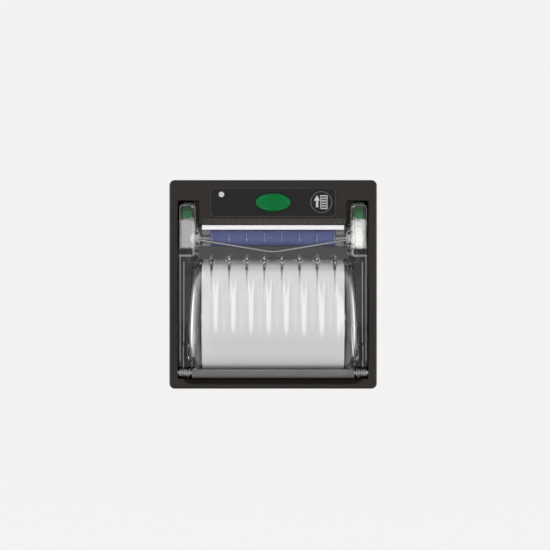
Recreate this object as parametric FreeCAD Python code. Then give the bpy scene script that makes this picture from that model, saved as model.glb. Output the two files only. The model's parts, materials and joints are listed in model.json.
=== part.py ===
import FreeCAD, Part
import math
import os
from FreeCAD import Rotation, Vector

# Panel-mount receipt printer, in millimetres.
# X to the right, +Y back into the panel, +Z up. The panel's front face is y = 0.
# The origin is the centre of the bezel's rear face.

# ---- general ----
slip = 0.3                    # gap between pieces that move past each other
running = 0.05                # radial gap of a shaft in its bore
snug = 0.02                   # radial gap of a pressed or glued fit
skin = 1.2                    # wall of the plain mouldings

# ---- paper ----
paper_width = 57.5
paper_thickness = 0.12
roll_radius = 22.0
roll_y = 6.0
core_radius = 8.0
core_bore_radius = 6.0

# ---- bucket and housing ----
bucket_gap = 0.35
bucket_side_gap = 1.45
bucket_wall = 1.5
bucket_lip_y = 0.3
bucket_back_rise = 14.65      # from the roll's axis to the top of the bucket's back
bucket_side_rise = 21.65
bucket_foot_x = (-22.0, 0.0, 22.0)
bucket_foot = 0.75
pocket_clear = 1.7            # bucket to the narrow part of the housing
pocket_depth = 6.4            # how far the housing draws in at its two clamp pockets
pocket_half_height = 8.0
housing_corner = 1.4
housing_seat = 1.0            # how deep the housing sits in the bezel's rebate
board_clear = 1.65            # bucket to the control board
board_room = 4.9              # control board to the rear cover
cover_thickness = 1.4
vent_count = 7
vent_pitch = 7.0
vent_width = 2.2
vent_length = 16.0
vent_y = 17.0
grille_count = 5
grille_half_width = 14.0
grille_low = 8.0
grille_pitch = 4.0
grille_slot = 1.8

# ---- bezel ----
bezel_overhang = 2.2          # bezel past the housing at the sides
bezel_overhang_up = 2.85      # and at the top and bottom
bezel_depth = 5.0             # how far it stands out of the panel
bezel_corner = 2.2
bezel_edge = 1.0
bezel_front_wall = 2.0
opening_bevel = 0.3
side_border = 3.4             # width of the bezel beside the lid
bottom_border = 4.05
notch_drop = 8.35             # from the bezel's top to the top of the arm notches
notch_screen = 0.7            # thickness of the screen behind each notch's inner part
notch_screen_reach = 2.5      # how far it stands out from the tongue
tongue_margin = 0.9           # tongue past the tear bar at the sides
tongue_rim = 2.0              # solid edge round the hollow back of the tongue
scoop_inset = 2.4
scoop_height = 2.3
scoop_depth = 3.8
scoop_round = 5.0
scoop_flare = 1.4

# ---- keypad ----
label_half_width = 25.7
label_drop = 2.85
label_height = 12.3
label_thickness = 0.2
button_half_width = 7.1
button_half_height = 3.55
button_travel = 1.2
button_flange = 0.9
flange_reach = 1.0            # how far a flange stands out round its button
stem_radius = 2.0
stem_end = 1.0
stem_gap = 0.5                # stem to the latch's tab
key_x = 19.5
key_radius = 4.5
key_proud = 0.45
key_travel = 0.4
key_flange = 0.6
key_post_radius = 0.7
key_post_x = (-6.0, 5.0)      # from the key's middle
key_post_drop = 4.2
key_board_y = -0.9
key_board_thickness = 0.8
key_board_reach = (7.0, 5.8, 5.0, 1.8)    # left, right, down and up from the key's middle
switch_half = 1.6

# ---- tear bar ----
tear_margin = 0.25            # tear bar past the paper at the sides
tear_gap = 0.5                # label to the tear bar
tear_height = 2.3
tear_thickness = 0.7
tear_pitch = 0.9
tear_groove = 0.35
tear_proud = 0.1
tear_rim = 0.45

# ---- lid ----
lid_gap = 0.4                 # round the lid, inside the bezel's opening
lid_front = 0.4               # the lid's plate lies this far behind the bezel's front
lid_wall = 1.8
slot_height = 2.9             # paper slot between the tongue and the lid
dome_gap = 1.2                # between the roll and the dome
dome_wall = 1.5
dome_side_gap = 1.2           # bucket to the top of the dome's sides
dome_spread = 2.0             # how much wider the dome is at its bottom
dome_shoulder = 6.0
rib_count = 8
rib_pitch = 7.1
rib_half_width = 1.6
rib_rise = 2.3                # how far the ribs' circle is raised above the dome's
lip_height = 2.5
lip_proud = 0.45
fin_half_width = 0.35         # paper guide fins behind the lip
fin_depth = 0.9
barrel_radius = 2.2
barrel_inset = 5.7            # from the opening's side to the end of the hinge barrel
barrel_gap = 0.2
pin_radius = 1.0
pin_bed = 3.2                 # length of a hinge pin in the lid
pin_hold = 2.0                # length of a hinge pin in the bezel
ear_thickness = 1.0
ear_gap = 0.4                 # tongue to the ears
arm_top_gap = 0.9
arm_height = 18.8
arm_proud = 1.7
arm_slope = 0.9               # the arms' fronts fall back by this much towards the outside
arm_wall = 1.0
arm_back = 1.0                # the arms end this far in front of the panel's face
flange_width = 1.1
flange_rear = -1.3
thumb_radius = 5.4
thumb_up = 2.6                # the thumb scoop's centre, above the arm
thumb_out = 3.4               # and in front of it
ridge_apex_drop = 8.25        # from the lid's top edge to the middle of the V ridge
ridge_end_drop = 3.1
ridge_width = 0.5
ridge_height = 0.3
pad_inset = 5.8
pad_drop = 7.55               # from the platen's axis
pad_radius = 2.8
pad_proud = 0.25
boss_inset = 1.8
boss_radius = 1.3
boss_hole_radius = 0.5
edge_slot_inset = 2.3
edge_slot_width = 0.4
edge_slot_rise = (4.8, 18.8)  # above the hinge

# ---- platen and paper path ----
platen_inset = 3.35           # from the paper's edge to the end of the rubber
platen_radius = 3.5
platen_shaft_radius = 1.5
platen_y = 2.0
platen_drop = 2.65            # from the lid's top edge to the platen's axis
guide_space = 9.4             # from the platen's axis to the roll
foot_space = 4.9              # from the dome to the bezel's bottom
bush_radius = 2.5
nip_gap = 0.06                # paper to platen, and paper to head
exit_angle = 85.0             # where the paper leaves the platen, from straight back
curl_y = -2.6                 # its free end curls up from here
curl_radius = 1.8
curl_angle = 50.0
curl_end = 0.8
bend_radius = 2.0
bend_drop = 6.15              # from the platen's axis to the guide bar's
guide_drop = 3.3              # from the platen's axis to the top of the guide's front
guide_height = 5.1
guide_depth = 7.7

# ---- gears ----
gear_module = 0.4
platen_teeth = 20
idler_teeth = 36
pinion_teeth = 16
idler_angle = 15.0            # direction from the platen to the idler, up from +Y
pinion_angle = 55.0           # direction from the idler to the pinion
gear_gap = 0.7                # side plate to the gears
gear_width = 2.8
backlash = 0.06
gear_bore_radius = 1.0
pressure_angle = math.radians(20)

# ---- mechanism frame, measured up and down from the platen's axis ----
plate_gap = 0.6               # ears to the side plates
side_plate = 0.8
plate_drop = 7.45
plate_depth = 26.5
plate_low_rise = 8.85
plate_top_gap = 2.0           # below the bezel's overhang
cross_plate_y = 12.2
cross_plate_drop = 5.55
cross_plate_rise = 5.25
frame_foot = (6.0, 22.0)
ledge_y = (8.0, 18.5)         # ledges on the housing that the frame's feet lie on
ledge_width = 1.5
tab_half_width = 6.0

# ---- print head ----
head_inset = 1.75             # from the paper's edge
head_thickness = 0.7
head_drop = 3.75
head_height = 8.4
sink_inset = 0.25
sink_depth = 1.95
head_pivot_y = 7.6
head_pivot_drop = 2.75
head_pin_radius = 1.0

# ---- latch ----
latch_y = 7.0
latch_rise = 6.75
latch_pin_radius = 1.5
latch_beam_front = 3.0
latch_beam_thickness = 2.0
latch_beam_height = 3.5
hook_drop = 5.1               # from the arms' top to the beam's lower edge
hook_side_gap = 0.8
hook_front = -4.6
hook_thickness = 2.0
tooth_drop = 1.5
tooth_thickness = 1.3
catch_height = 1.5

# ---- springs ----
spring_wire = 0.4
head_spring_radius = 1.6
head_spring_x = 15.0
head_spring_rise = 2.25
head_spring_turns = 3
latch_spring_radius = 1.7
latch_spring_turns = 5
torsion_wire = 0.7
torsion_turns = 5
torsion_leg = 9.6
torsion_foot = 5.5

# ---- motor ----
motor_radius = 7.5
motor_length = 12.3
motor_flange = 0.8
motor_shaft_radius = 1.0
motor_shaft_inside = 5.5
motor_boss_radius = 2.2

# ---- screws and posts ----
frame_screw_inset = 3.1       # from the tongue's side
frame_screw_drop = 6.05       # from the bezel's top
frame_screw_radius = 0.8
frame_screw_length = 4.0
frame_screw_head = (1.8, 1.0)     # radius and height
frame_post_radius = 1.9
frame_block = 4.0
frame_block_depth = 2.0
cover_screw_radius = 1.0
cover_screw_inset = 1.8
cover_screw_length = 6.5
cover_screw_head = (2.0, 1.1)
corner_block = 3.6
corner_block_length = 10.0
board_post_inset = 4.4
board_post_length = 4.5

# ---- electronics ----
board_thickness = 1.6
board_side_gap = 2.0
board_end_gap = 1.2
post_radius = 2.0
plug_rise = 13.9              # from the housing's bottom
plug_wall = 1.0
plug_floor = 1.5
plug_proud = 0.4
pin_pitch = 2.54
data_plug = (-24.0, -3.0, 4.5)    # left, right and half the height
power_plug = (8.0, 19.0, 4.5)
chips = [(-12, 8, 14, 14, 1.6), (10, 12, 9, 6, 1.4), (-14, -8, 8, 5, 1.5), (12, -6, 10, 10, 2.2)]
can_x = (19.0, 25.5)
can_z = -14.0
can_radius = 2.6
can_height = 4.2

# ---- panel clamps ----
clamp_inset = 3.2             # from the pocket's wall to the jack screw
clamp_z = -6.0
jaw_front = 6.0
jaw_length = 8.0
jaw_half_height = 4.5
jaw_gap = 0.2                 # from the bezel's side to the tip of the jaw
jaw_wing = 3.0
lug_front = 22.0
lug_thickness = 3.0
lug_half_height = 4.0
rail_reach = 0.9
rail_half_height = 0.8
screw_radius = 1.5
screw_tip = 3.0
screw_head_radius = 2.7
screw_head = 2.3

# ---- sizes that follow: side to side ----
bucket_half_width = paper_width / 2 + bucket_side_gap
pocket_half_width = bucket_half_width + bucket_wall + pocket_clear
housing_half_width = pocket_half_width + pocket_depth
wall_inner_width = housing_half_width - skin
bezel_half_width = housing_half_width + bezel_overhang
opening_half_width = bezel_half_width - side_border
lid_half_width = opening_half_width - lid_gap
tear_half_width = paper_width / 2 + tear_margin
tongue_half_width = tear_half_width + tongue_margin
scoop_half_width = opening_half_width - scoop_inset
dome_top_half_width = bucket_half_width + bucket_wall + dome_side_gap
dome_bottom_half_width = dome_top_half_width + dome_spread
barrel_half_width = opening_half_width - barrel_inset
ear_inner = tongue_half_width + ear_gap
arm_inner = ear_inner + ear_thickness - 0.1
arm_outer = lid_half_width - 0.2
hook_inner = arm_inner + arm_wall + hook_side_gap
hook_outer = arm_outer - arm_wall - slip * 2
pad_x = lid_half_width - pad_inset
boss_x = barrel_half_width - boss_inset
platen_half_width = paper_width / 2 - platen_inset
side_plate_inner = ear_inner + ear_thickness + plate_gap
bush_end = side_plate_inner + side_plate + slip
gear_inner = side_plate_inner + side_plate + gear_gap
shaft_end = gear_inner + gear_width + slip
head_half_width = paper_width / 2 - head_inset
sink_half_width = paper_width / 2 - sink_inset
frame_screw_x = tongue_half_width - frame_screw_inset
board_half_width = pocket_half_width - board_side_gap
board_post_x = board_half_width - board_post_inset
cover_screw_x = wall_inner_width - cover_screw_inset
clamp_x = pocket_half_width + clamp_inset
jaw_reach = bezel_half_width - jaw_gap

# ---- sizes that follow: bottom to top ----
dome_inner_radius = roll_radius + dome_gap
dome_radius = dome_inner_radius + dome_wall
bucket_radius = roll_radius + bucket_gap
tongue_drop = label_drop + label_height + tear_gap + tear_height
platen_to_top = tongue_drop + slot_height + platen_drop
bezel_height = platen_to_top + guide_space + roll_radius + dome_radius + foot_space
bezel_top = bezel_height / 2
housing_half_height = bezel_top - bezel_overhang_up
wall_inner_height = housing_half_height - skin
notch_top = bezel_top - notch_drop
label_top = bezel_top - label_drop
label_bottom = label_top - label_height
button_z = (label_top + label_bottom) / 2 - 0.05
key_z = (label_top + label_bottom) / 2 + 0.05
tongue_bottom = bezel_top - tongue_drop
lid_top = tongue_bottom - slot_height
platen_z = lid_top - platen_drop
roll_z = platen_z - guide_space - roll_radius
opening_bottom = -bezel_top + bottom_border
hinge_z = opening_bottom + barrel_radius + barrel_gap
lid_corner_z = hinge_z + barrel_radius + slip
arm_top = notch_top - arm_top_gap
arm_bottom = arm_top - arm_height
latch_beam_bottom = arm_top - hook_drop
latch_beam_top = latch_beam_bottom + latch_beam_height
catch_top = latch_beam_bottom - tooth_drop - slip
latch_z = platen_z + latch_rise
bend_z = platen_z - bend_drop
plate_bottom = platen_z - plate_drop
plate_low_top = platen_z + plate_low_rise
plate_high_top = housing_half_height - plate_top_gap
cross_plate_bottom = platen_z - cross_plate_drop
cross_plate_top = platen_z + cross_plate_rise
head_bottom = platen_z - head_drop
head_pivot_z = platen_z - head_pivot_drop
head_spring_z = platen_z + head_spring_rise
bucket_back_top = roll_z + bucket_back_rise
bucket_side_top = roll_z + bucket_side_rise
pocket_top = clamp_z + pocket_half_height
pocket_bottom = clamp_z - pocket_half_height
frame_screw_z = bezel_top - frame_screw_drop
cover_screw_z = wall_inner_height - cover_screw_inset
board_half_height = wall_inner_height - board_end_gap
plug_z = plug_rise - housing_half_height

# ---- sizes that follow: front to back ----
bezel_front = -bezel_depth
button_proud = button_travel + 0.1
tongue_rear = bezel_front + bezel_front_wall
plate_front = bezel_front + lid_front
plate_rear = plate_front + lid_wall
arm_front = bezel_front - arm_proud
hinge_y = bezel_front + barrel_radius
head_front = platen_y + platen_radius + 2 * nip_gap + paper_thickness
bend_y = platen_y + platen_radius + nip_gap + paper_thickness / 2 + bend_radius
board_y = roll_y + bucket_radius + bucket_wall + board_clear
housing_depth = board_y + board_thickness + board_room

os.makedirs("parts", exist_ok=True)


# ---- helpers ----
def save(name, *shapes):
    """Writes one piece, or a group of separate solids, to its own file."""
    solids = [solid for shape in shapes for solid in shape.Solids]
    bad = [solid for solid in solids if not solid.isValid() or solid.Volume <= 0]
    shape = solids[0] if len(solids) == 1 else Part.makeCompound(solids)
    shape.exportStep("parts/" + name + ".step")
    print(name, len(solids), "solids", round(sum(s.Volume for s in solids), 2), "bad", len(bad))


def box(x0, x1, y0, y1, z0, z1):
    return Part.makeBox(x1 - x0, y1 - y0, z1 - z0, Vector(x0, y0, z0))


def rod(x0, x1, y, z, radius):
    """A round bar along X."""
    return Part.makeCylinder(radius, x1 - x0, Vector(x0, y, z), Vector(1, 0, 0))


def post(y0, y1, x, z, radius):
    """A round bar along Y."""
    return Part.makeCylinder(radius, y1 - y0, Vector(x, y0, z), Vector(0, 1, 0))


def fuse(shapes):
    joined = shapes[0].multiFuse(list(shapes[1:])) if len(shapes) > 1 else shapes[0]
    return joined.removeSplitter()


def other_side(shape):
    """The same shape on the other side of the middle."""
    return shape.mirror(Vector(0, 0, 0), Vector(1, 0, 0))


def pair(shape):
    return [shape, other_side(shape)]


def rounded_wire(corners, place):
    """A closed outline through (u, v, radius) corners, each rounded by an arc of its radius."""
    ends = []
    count = len(corners)
    for i, (u, v, radius) in enumerate(corners):
        here = Vector(u, v, 0)
        back = Vector(corners[i - 1][0], corners[i - 1][1], 0) - here
        ahead = Vector(corners[(i + 1) % count][0], corners[(i + 1) % count][1], 0) - here
        back.normalize()
        ahead.normalize()
        if radius == 0:
            ends.append((here, here, here))
            continue
        half = back.getAngle(ahead) / 2
        reach = radius / math.tan(half)
        middle = (back + ahead).normalize() * (radius / math.sin(half) - radius)
        ends.append((here + back * reach, here + middle, here + ahead * reach))
    edges = []
    for i, (start, middle, end) in enumerate(ends):
        following = ends[(i + 1) % count][0]
        if (end - start).Length > 1e-6:
            arc = Part.Arc(place(start.x, start.y), place(middle.x, middle.y), place(end.x, end.y))
            edges.append(arc.toShape())
        if (following - end).Length > 1e-6:
            edges.append(Part.LineSegment(place(end.x, end.y), place(following.x, following.y)).toShape())
    return Part.Wire(edges)


def front_prism(corners, y0, y1):
    """Corners (x, z, radius) seen from the front, carried from y0 to y1."""
    wire = rounded_wire(corners, lambda x, z: Vector(x, y0, z))
    return Part.Face(wire).extrude(Vector(0, y1 - y0, 0))


def side_prism(corners, x0, x1):
    """Corners (y, z, radius) seen from the side, carried from x0 to x1."""
    wire = rounded_wire(corners, lambda y, z: Vector(x0, y, z))
    return Part.Face(wire).extrude(Vector(x1 - x0, 0, 0))


def rectangle(x0, x1, z0, z1, radius):
    return [(x0, z0, radius), (x1, z0, radius), (x1, z1, radius), (x0, z1, radius)]


def oval(y0, y1, x, z, half_width, half_height):
    ellipse = Part.Ellipse(Vector(0, 0, 0), half_width, half_height)
    shape = ellipse.toShape()
    shape.rotate(Vector(0, 0, 0), Vector(1, 0, 0), 90)
    shape.translate(Vector(x, y0, z))
    return Part.Face(Part.Wire([shape])).extrude(Vector(0, y1 - y0, 0))


def edges_at_y(shape, y):
    return [e for e in shape.Edges if all(abs(v.Y - y) < 1e-4 for v in e.Vertexes)
            and abs(e.CenterOfMass.y - y) < 1e-4]


def coil(start, direction, radius, wire_radius, length, turns):
    """A spring of eight-sided wire that starts at a point and runs along a direction."""
    helix = Part.makeHelix(length / turns, length, radius)
    turns_of_45 = [k * math.pi / 4 for k in range(8)]
    corners = [Vector(radius + wire_radius * math.cos(a), 0, wire_radius * math.sin(a)) for a in turns_of_45]
    ring = Part.makePolygon(corners + corners[:1])
    spring = Part.Wire(helix.Edges).makePipeShell([ring], True, True)
    spring.Placement = FreeCAD.Placement(start, Rotation(Vector(0, 0, 1), direction))
    return spring


# ---- bezel and keypad ----
def make_bezel():
    body = front_prism(rectangle(-bezel_half_width, bezel_half_width, -bezel_top, bezel_top, bezel_corner),
                       bezel_front, 0)
    body = body.makeFillet(bezel_edge, edges_at_y(body, bezel_front))
    opening = front_prism([
        (-opening_half_width, opening_bottom, 0.6), (opening_half_width, opening_bottom, 0.6),
        (opening_half_width, notch_top, 0.8), (tongue_half_width, notch_top, 0.8),
        (tongue_half_width, tongue_bottom, 0.4), (-tongue_half_width, tongue_bottom, 0.4),
        (-tongue_half_width, notch_top, 0.8), (-opening_half_width, notch_top, 0.8),
    ], bezel_front - 1, 1)
    body = body.cut(opening)
    brim = [e for e in edges_at_y(body, bezel_front)
            if abs(e.CenterOfMass.x) < opening_half_width + 0.1 and e.CenterOfMass.z < notch_top + 0.1
            and e.CenterOfMass.z > opening_bottom - 0.1]
    body = body.makeChamfer(opening_bevel, brim)
    # the scoop below the lid, deepest beside the lid, clears the dome as the lid swings down
    scoop = rounded_wire([
        (-scoop_half_width, opening_bottom - scoop_height, scoop_round),
        (scoop_half_width, opening_bottom - scoop_height, scoop_round),
        (scoop_half_width + scoop_flare, opening_bottom + 3, 0),
        (-scoop_half_width - scoop_flare, opening_bottom + 3, 0),
    ], lambda x, z: Vector(x, bezel_front, z))
    body = body.cut(Part.Face(scoop).extrude(Vector(0, scoop_depth, scoop_height)))
    inside = tongue_half_width - tongue_rim
    pocket = front_prism(rectangle(-inside, inside, tongue_bottom + tongue_rim, bezel_top - tongue_rim, 1.0),
                         tongue_rear, -housing_seat)
    body = body.cut(pocket)
    wide, high = housing_half_width + running, housing_half_height + running
    seat = front_prism(rectangle(-wide, wide, -high, high, housing_corner), -housing_seat, 1)
    body = body.cut(seat)
    rebate = box(-tear_half_width - snug, tear_half_width + snug, bezel_front - 1,
                 bezel_front + tear_thickness, tongue_bottom - 1, tongue_bottom + tear_height + snug)
    body = body.cut(rebate)
    body = cut_keypad_holes(body)
    low, high = tongue_bottom + 1.1, notch_top - 0.1
    edge = box(tongue_half_width - 0.1, arm_inner - slip, -housing_seat - notch_screen, 0, low, high)
    screen = box(arm_inner - slip - 0.1, tongue_half_width + notch_screen_reach, -notch_screen, 0, low, high)
    body = fuse([body] + pair(edge) + pair(screen))
    posts = [post(tongue_rear, 0, sign * frame_screw_x, frame_screw_z, frame_post_radius)
             for sign in (-1, 1)]
    posts += [post(tongue_rear, key_board_y, key_x + dx, key_z - key_post_drop, key_post_radius)
              for dx in key_post_x]
    body = fuse([body] + posts)
    for sign in (-1, 1):
        body = body.cut(post(tongue_rear - 1, 1, sign * frame_screw_x, frame_screw_z,
                             frame_screw_radius + snug))
        inner = opening_half_width - 0.5
        hole = rod(inner, opening_half_width + pin_hold, hinge_y, hinge_z, pin_radius + snug)
        body = body.cut(hole if sign > 0 else other_side(hole))
    return body


def cut_keypad_holes(body):
    """Holes for the release button and the feed key."""
    body = body.cut(oval(bezel_front - 1, 0, 0, button_z, button_half_width + slip,
                         button_half_height + slip))
    return body.cut(post(bezel_front - 1, 0, key_x, key_z, key_radius + slip / 2))


def make_label():
    sheet = front_prism(rectangle(-label_half_width, label_half_width, label_bottom, label_top, 1.5),
                        bezel_front - label_thickness, bezel_front)
    return cut_keypad_holes(sheet)


def make_button():
    front = bezel_front - label_thickness - button_proud
    cap = oval(front, tongue_rear + slip / 2, 0, button_z, button_half_width, button_half_height)
    cap = cap.makeFillet(0.9, edges_at_y(cap, front))
    dish_radius = 30.0
    dish = Part.makeSphere(dish_radius, Vector(0, front - dish_radius + 0.35, button_z))
    flange = oval(tongue_rear + slip / 3, tongue_rear + button_flange, 0, button_z,
                  button_half_width + flange_reach, button_half_height + flange_reach)
    stem = post(tongue_rear, stem_end, 0, button_z, stem_radius)
    return fuse([cap.cut(dish), flange, stem])


def make_key():
    front = bezel_front - label_thickness - key_proud
    cap = post(front, tongue_rear + slip / 2, key_x, key_z, key_radius)
    cap = cap.makeFillet(0.3, edges_at_y(cap, front))
    dish_radius = 40.0
    cap = cap.cut(Part.makeSphere(dish_radius, Vector(key_x, front - dish_radius + 0.2, key_z)))
    flange = post(tongue_rear + slip / 3, tongue_rear + key_flange, key_x, key_z, key_radius + 0.8)
    return fuse([cap, flange])


def make_key_board():
    rear = key_board_y + key_board_thickness
    left, right, down, up = key_board_reach
    outline = rectangle(key_x - left, key_x + right, key_z - down, key_z + up, 0.5)
    board = front_prism(outline, key_board_y, rear)
    switch_front = tongue_rear + key_flange + key_travel + 0.1
    switch = box(key_x - switch_half, key_x + switch_half, switch_front, key_board_y,
                 key_z - switch_half, key_z + switch_half)
    return fuse([board, switch])


def make_tear_bar():
    """A steel strip whose front is fluted and whose lower edge is a row of points."""
    front = bezel_front - tear_proud
    rear = bezel_front + tear_thickness
    top = tongue_bottom + tear_height
    count = int(2 * tear_half_width / tear_pitch)
    points = [Vector(-tear_half_width, rear, top), Vector(-tear_half_width, front, top)]
    for i in range(count):
        x = -tear_half_width + (i + 0.5) * 2 * tear_half_width / count
        step = tear_half_width / count
        points += [Vector(x, front + tear_groove, top), Vector(x + step, front, top)]
    points += [Vector(tear_half_width, rear, top), points[0]]
    bar = Part.Face(Part.makePolygon(points)).extrude(Vector(0, 0, -tear_height))
    ledge = box(-tear_half_width, tear_half_width, front, rear, top - tear_rim, top)
    return fuse([bar, ledge])


# ---- lid ----
def half_width_at(z, offset):
    """Half the dome's width at a height: its sides draw in towards the top."""
    top, bottom = dome_z(1), dome_z(-1)
    share = (z - bottom) / (top - bottom)
    return dome_bottom_half_width + share * (dome_top_half_width - dome_bottom_half_width) - offset


def dome_z(sign):
    """Where the dome's arc meets the front of the lid's plate, above or below the roll."""
    return roll_z + sign * math.sqrt(dome_radius ** 2 - (roll_y - plate_front) ** 2)


def dome_solid(radius, offset, rear):
    """The arc over the roll between two slightly slanted ends, with rounded shoulders."""
    low, high = roll_z - radius - 1, roll_z + radius + 1
    wide_low, wide_high = half_width_at(low, offset), half_width_at(high, offset)
    bar = rod(-wide_low - 1, wide_low + 1, roll_y, roll_z, radius)
    ends = front_prism([(-wide_low, low, 0), (wide_low, low, 0), (wide_high, high, 0),
                        (-wide_high, high, 0)], roll_y - radius - 1, rear)
    body = bar.common(ends)
    curved = [e for e in body.Edges if e.Curve.TypeId != "Part::GeomLine" and e.Length > radius]
    return body.makeFillet(dome_shoulder - offset, curved)


def rib_ring(x):
    """A ring with a pointed rim. Its circle is raised, so the rim stands out of the dome at the top
    as a spear point and sinks into it towards the middle."""
    y, z = roll_y - slip, roll_z + rib_rise
    inner = dome_inner_radius - 0.5
    outline = [(x - rib_half_width, inner), (x - rib_half_width, dome_radius - 1.9),
               (x - 0.62 * rib_half_width, dome_radius - 0.6), (x, dome_radius),
               (x + 0.62 * rib_half_width, dome_radius - 0.6), (x + rib_half_width, dome_radius - 1.9),
               (x + rib_half_width, inner)]
    points = [Vector(px, y, z - radius) for px, radius in outline]
    face = Part.Face(Part.makePolygon(points + points[:1]))
    return face.revolve(Vector(0, y, z), Vector(1, 0, 0), 360)


def rib_x(i):
    return (i - (rib_count - 1) / 2) * rib_pitch


def ridge(x0, z0, x1, z1):
    """A raised line with a sharp crest on the front of the lid's plate."""
    start, along = Vector(x0, plate_front, z0), Vector(x1 - x0, 0, z1 - z0)
    across = along.cross(Vector(0, 1, 0)).normalize() * (ridge_width / 2)
    deep = Vector(0, 0.2, 0)
    outline = [start + deep - across, start - across, start - Vector(0, ridge_height, 0),
               start + across, start + deep + across]
    return Part.Face(Part.makePolygon(outline + outline[:1])).extrude(along)


def beyond_slope(y):
    """What lies in front of the arm's sloping face, where that face starts at y on the inner side."""
    corners = [(arm_inner - 1, y - 9), (arm_inner - 1, y), (arm_inner, y), (arm_outer, y + arm_slope),
               (arm_outer + 1, y + arm_slope), (arm_outer + 1, y - 9)]
    points = [Vector(px, py, arm_bottom - 1) for px, py in corners]
    return Part.Face(Part.makePolygon(points + points[:1])).extrude(Vector(0, 0, arm_height + 2))


def make_arm():
    """The right arm: a rounded hollow block, open to the rear, with a catch for the latch across it."""
    outer = front_prism([(arm_inner, arm_bottom, 0.4), (arm_outer, arm_bottom, 0.4),
                         (arm_outer, arm_top, 2.4), (arm_inner, arm_top, 2.4)], arm_front, -arm_back)
    outer = outer.cut(beyond_slope(arm_front))
    face = min(outer.Faces, key=lambda f: f.CenterOfMass.y)
    outer = outer.makeFillet(0.5, face.Edges)
    thumb_y, thumb_z = arm_front - thumb_out, arm_top + thumb_up
    thumb = rod(arm_inner - 1, arm_outer + 1, thumb_y, thumb_z, thumb_radius)
    outer = outer.cut(thumb)
    inside = front_prism([(arm_inner + arm_wall, arm_bottom + arm_wall, 0),
                          (arm_outer - arm_wall, arm_bottom + arm_wall, 0),
                          (arm_outer - arm_wall, arm_top - arm_wall, 1.4),
                          (arm_inner + arm_wall, arm_top - arm_wall, 1.4)],
                         arm_front + arm_wall, 0)
    inside = inside.cut(beyond_slope(arm_front + arm_wall))
    inside = inside.cut(rod(arm_inner - 1, arm_outer + 1, thumb_y, thumb_z, thumb_radius + arm_wall))
    gear_room = box(gear_inner - slip, arm_outer - arm_wall, plate_rear, 0, arm_bottom - 1, arm_bottom + 2)
    catch = box(arm_inner + arm_wall / 2, arm_outer - arm_wall / 2, hook_front + tooth_thickness + slip,
                -arm_back - 0.2, catch_top - catch_height, catch_top)
    return fuse([outer.cut(inside).cut(gear_room), catch])


def make_ear():
    """The right ear: it stands back from the lid and holds a platen bush."""
    radius = bush_radius + 0.9
    x1 = ear_inner + ear_thickness
    bend = radius - 0.4
    plate = side_prism([(plate_front, platen_z - radius - 1.2, 0),
                        (platen_y + radius, platen_z - radius, bend),
                        (platen_y + radius, platen_z + radius, bend), (-0.6, platen_z + radius, 0.5),
                        (-1.6, tongue_bottom + 0.2, 0.4), (plate_front, tongue_bottom + 0.2, 0.4)],
                       ear_inner, x1)
    return plate.cut(rod(ear_inner - 1, x1 + 1, platen_y, platen_z, bush_radius + snug))


def make_lid():
    plate = front_prism([
        (-barrel_half_width, hinge_z, 0), (barrel_half_width, hinge_z, 0),
        (barrel_half_width, lid_corner_z, 0.8), (lid_half_width, lid_corner_z, 0.6),
        (lid_half_width, arm_bottom + 0.3, 0), (ear_inner + ear_thickness, arm_bottom + 0.3, 0),
        (ear_inner + ear_thickness, lid_top, 0.4), (-ear_inner - ear_thickness, lid_top, 0.4),
        (-ear_inner - ear_thickness, arm_bottom + 0.3, 0), (-lid_half_width, arm_bottom + 0.3, 0),
        (-lid_half_width, lid_corner_z, 0.6), (-barrel_half_width, lid_corner_z, 0.8),
    ], plate_front, plate_rear)
    dome = dome_solid(dome_radius, 0, plate_rear)
    keep = box(-lid_half_width, lid_half_width, roll_y - dome_radius - 3, plate_rear,
               lid_corner_z, lid_top - 4)
    ribs = [rib_ring(rib_x(i)).common(keep) for i in range(rib_count)]
    cavity = dome_solid(dome_inner_radius, dome_wall, plate_rear + 0.01)
    shell = fuse([plate, dome] + ribs).cut(cavity)
    extras = [side_prism([(plate_front - lip_proud, lid_top - lip_height, lip_proud * 0.9),
                          (plate_rear, lid_top - lip_height, 0), (plate_rear, lid_top, 0.3),
                          (plate_front - lip_proud, lid_top, lip_proud * 0.9)],
                         -tear_half_width, tear_half_width)]
    extras.append(rod(-barrel_half_width, barrel_half_width, hinge_y, hinge_z, barrel_radius))
    for piece in (make_arm(), make_ear()):
        extras += pair(piece)
    extras += pair(box(lid_half_width - flange_width, lid_half_width, plate_front, flange_rear,
                       lid_corner_z + 2.3, arm_bottom + 0.3))
    extras += pair(post(plate_front - pad_proud, plate_rear, pad_x, platen_z - pad_drop, pad_radius))
    for i in range(rib_count):
        x = rib_x(i)
        extras.append(box(x - fin_half_width, x + fin_half_width, plate_rear - 0.1, plate_rear + fin_depth,
                          platen_z - guide_drop + slip, lid_top - lip_height / 4))
    boss = post(bezel_front - 0.3, hinge_y, boss_x, hinge_z, boss_radius)
    extras += pair(boss.cut(post(bezel_front - 1, bezel_front + 0.4, boss_x, hinge_z, boss_hole_radius)))
    apex, end = lid_top - ridge_apex_drop, lid_top - ridge_end_drop
    extras += pair(ridge(-0.05, apex, ear_inner, end))
    lid = fuse([shell] + extras)
    slot_x = lid_half_width - edge_slot_inset
    low, high = edge_slot_rise
    slot = box(slot_x - edge_slot_width, slot_x, bezel_front - 1, 0, hinge_z + low, hinge_z + high)
    bore = rod(barrel_half_width - pin_bed, barrel_half_width + 1, hinge_y, hinge_z, pin_radius + running)
    for piece in pair(slot) + pair(bore):
        lid = lid.cut(piece)
    return lid


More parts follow.
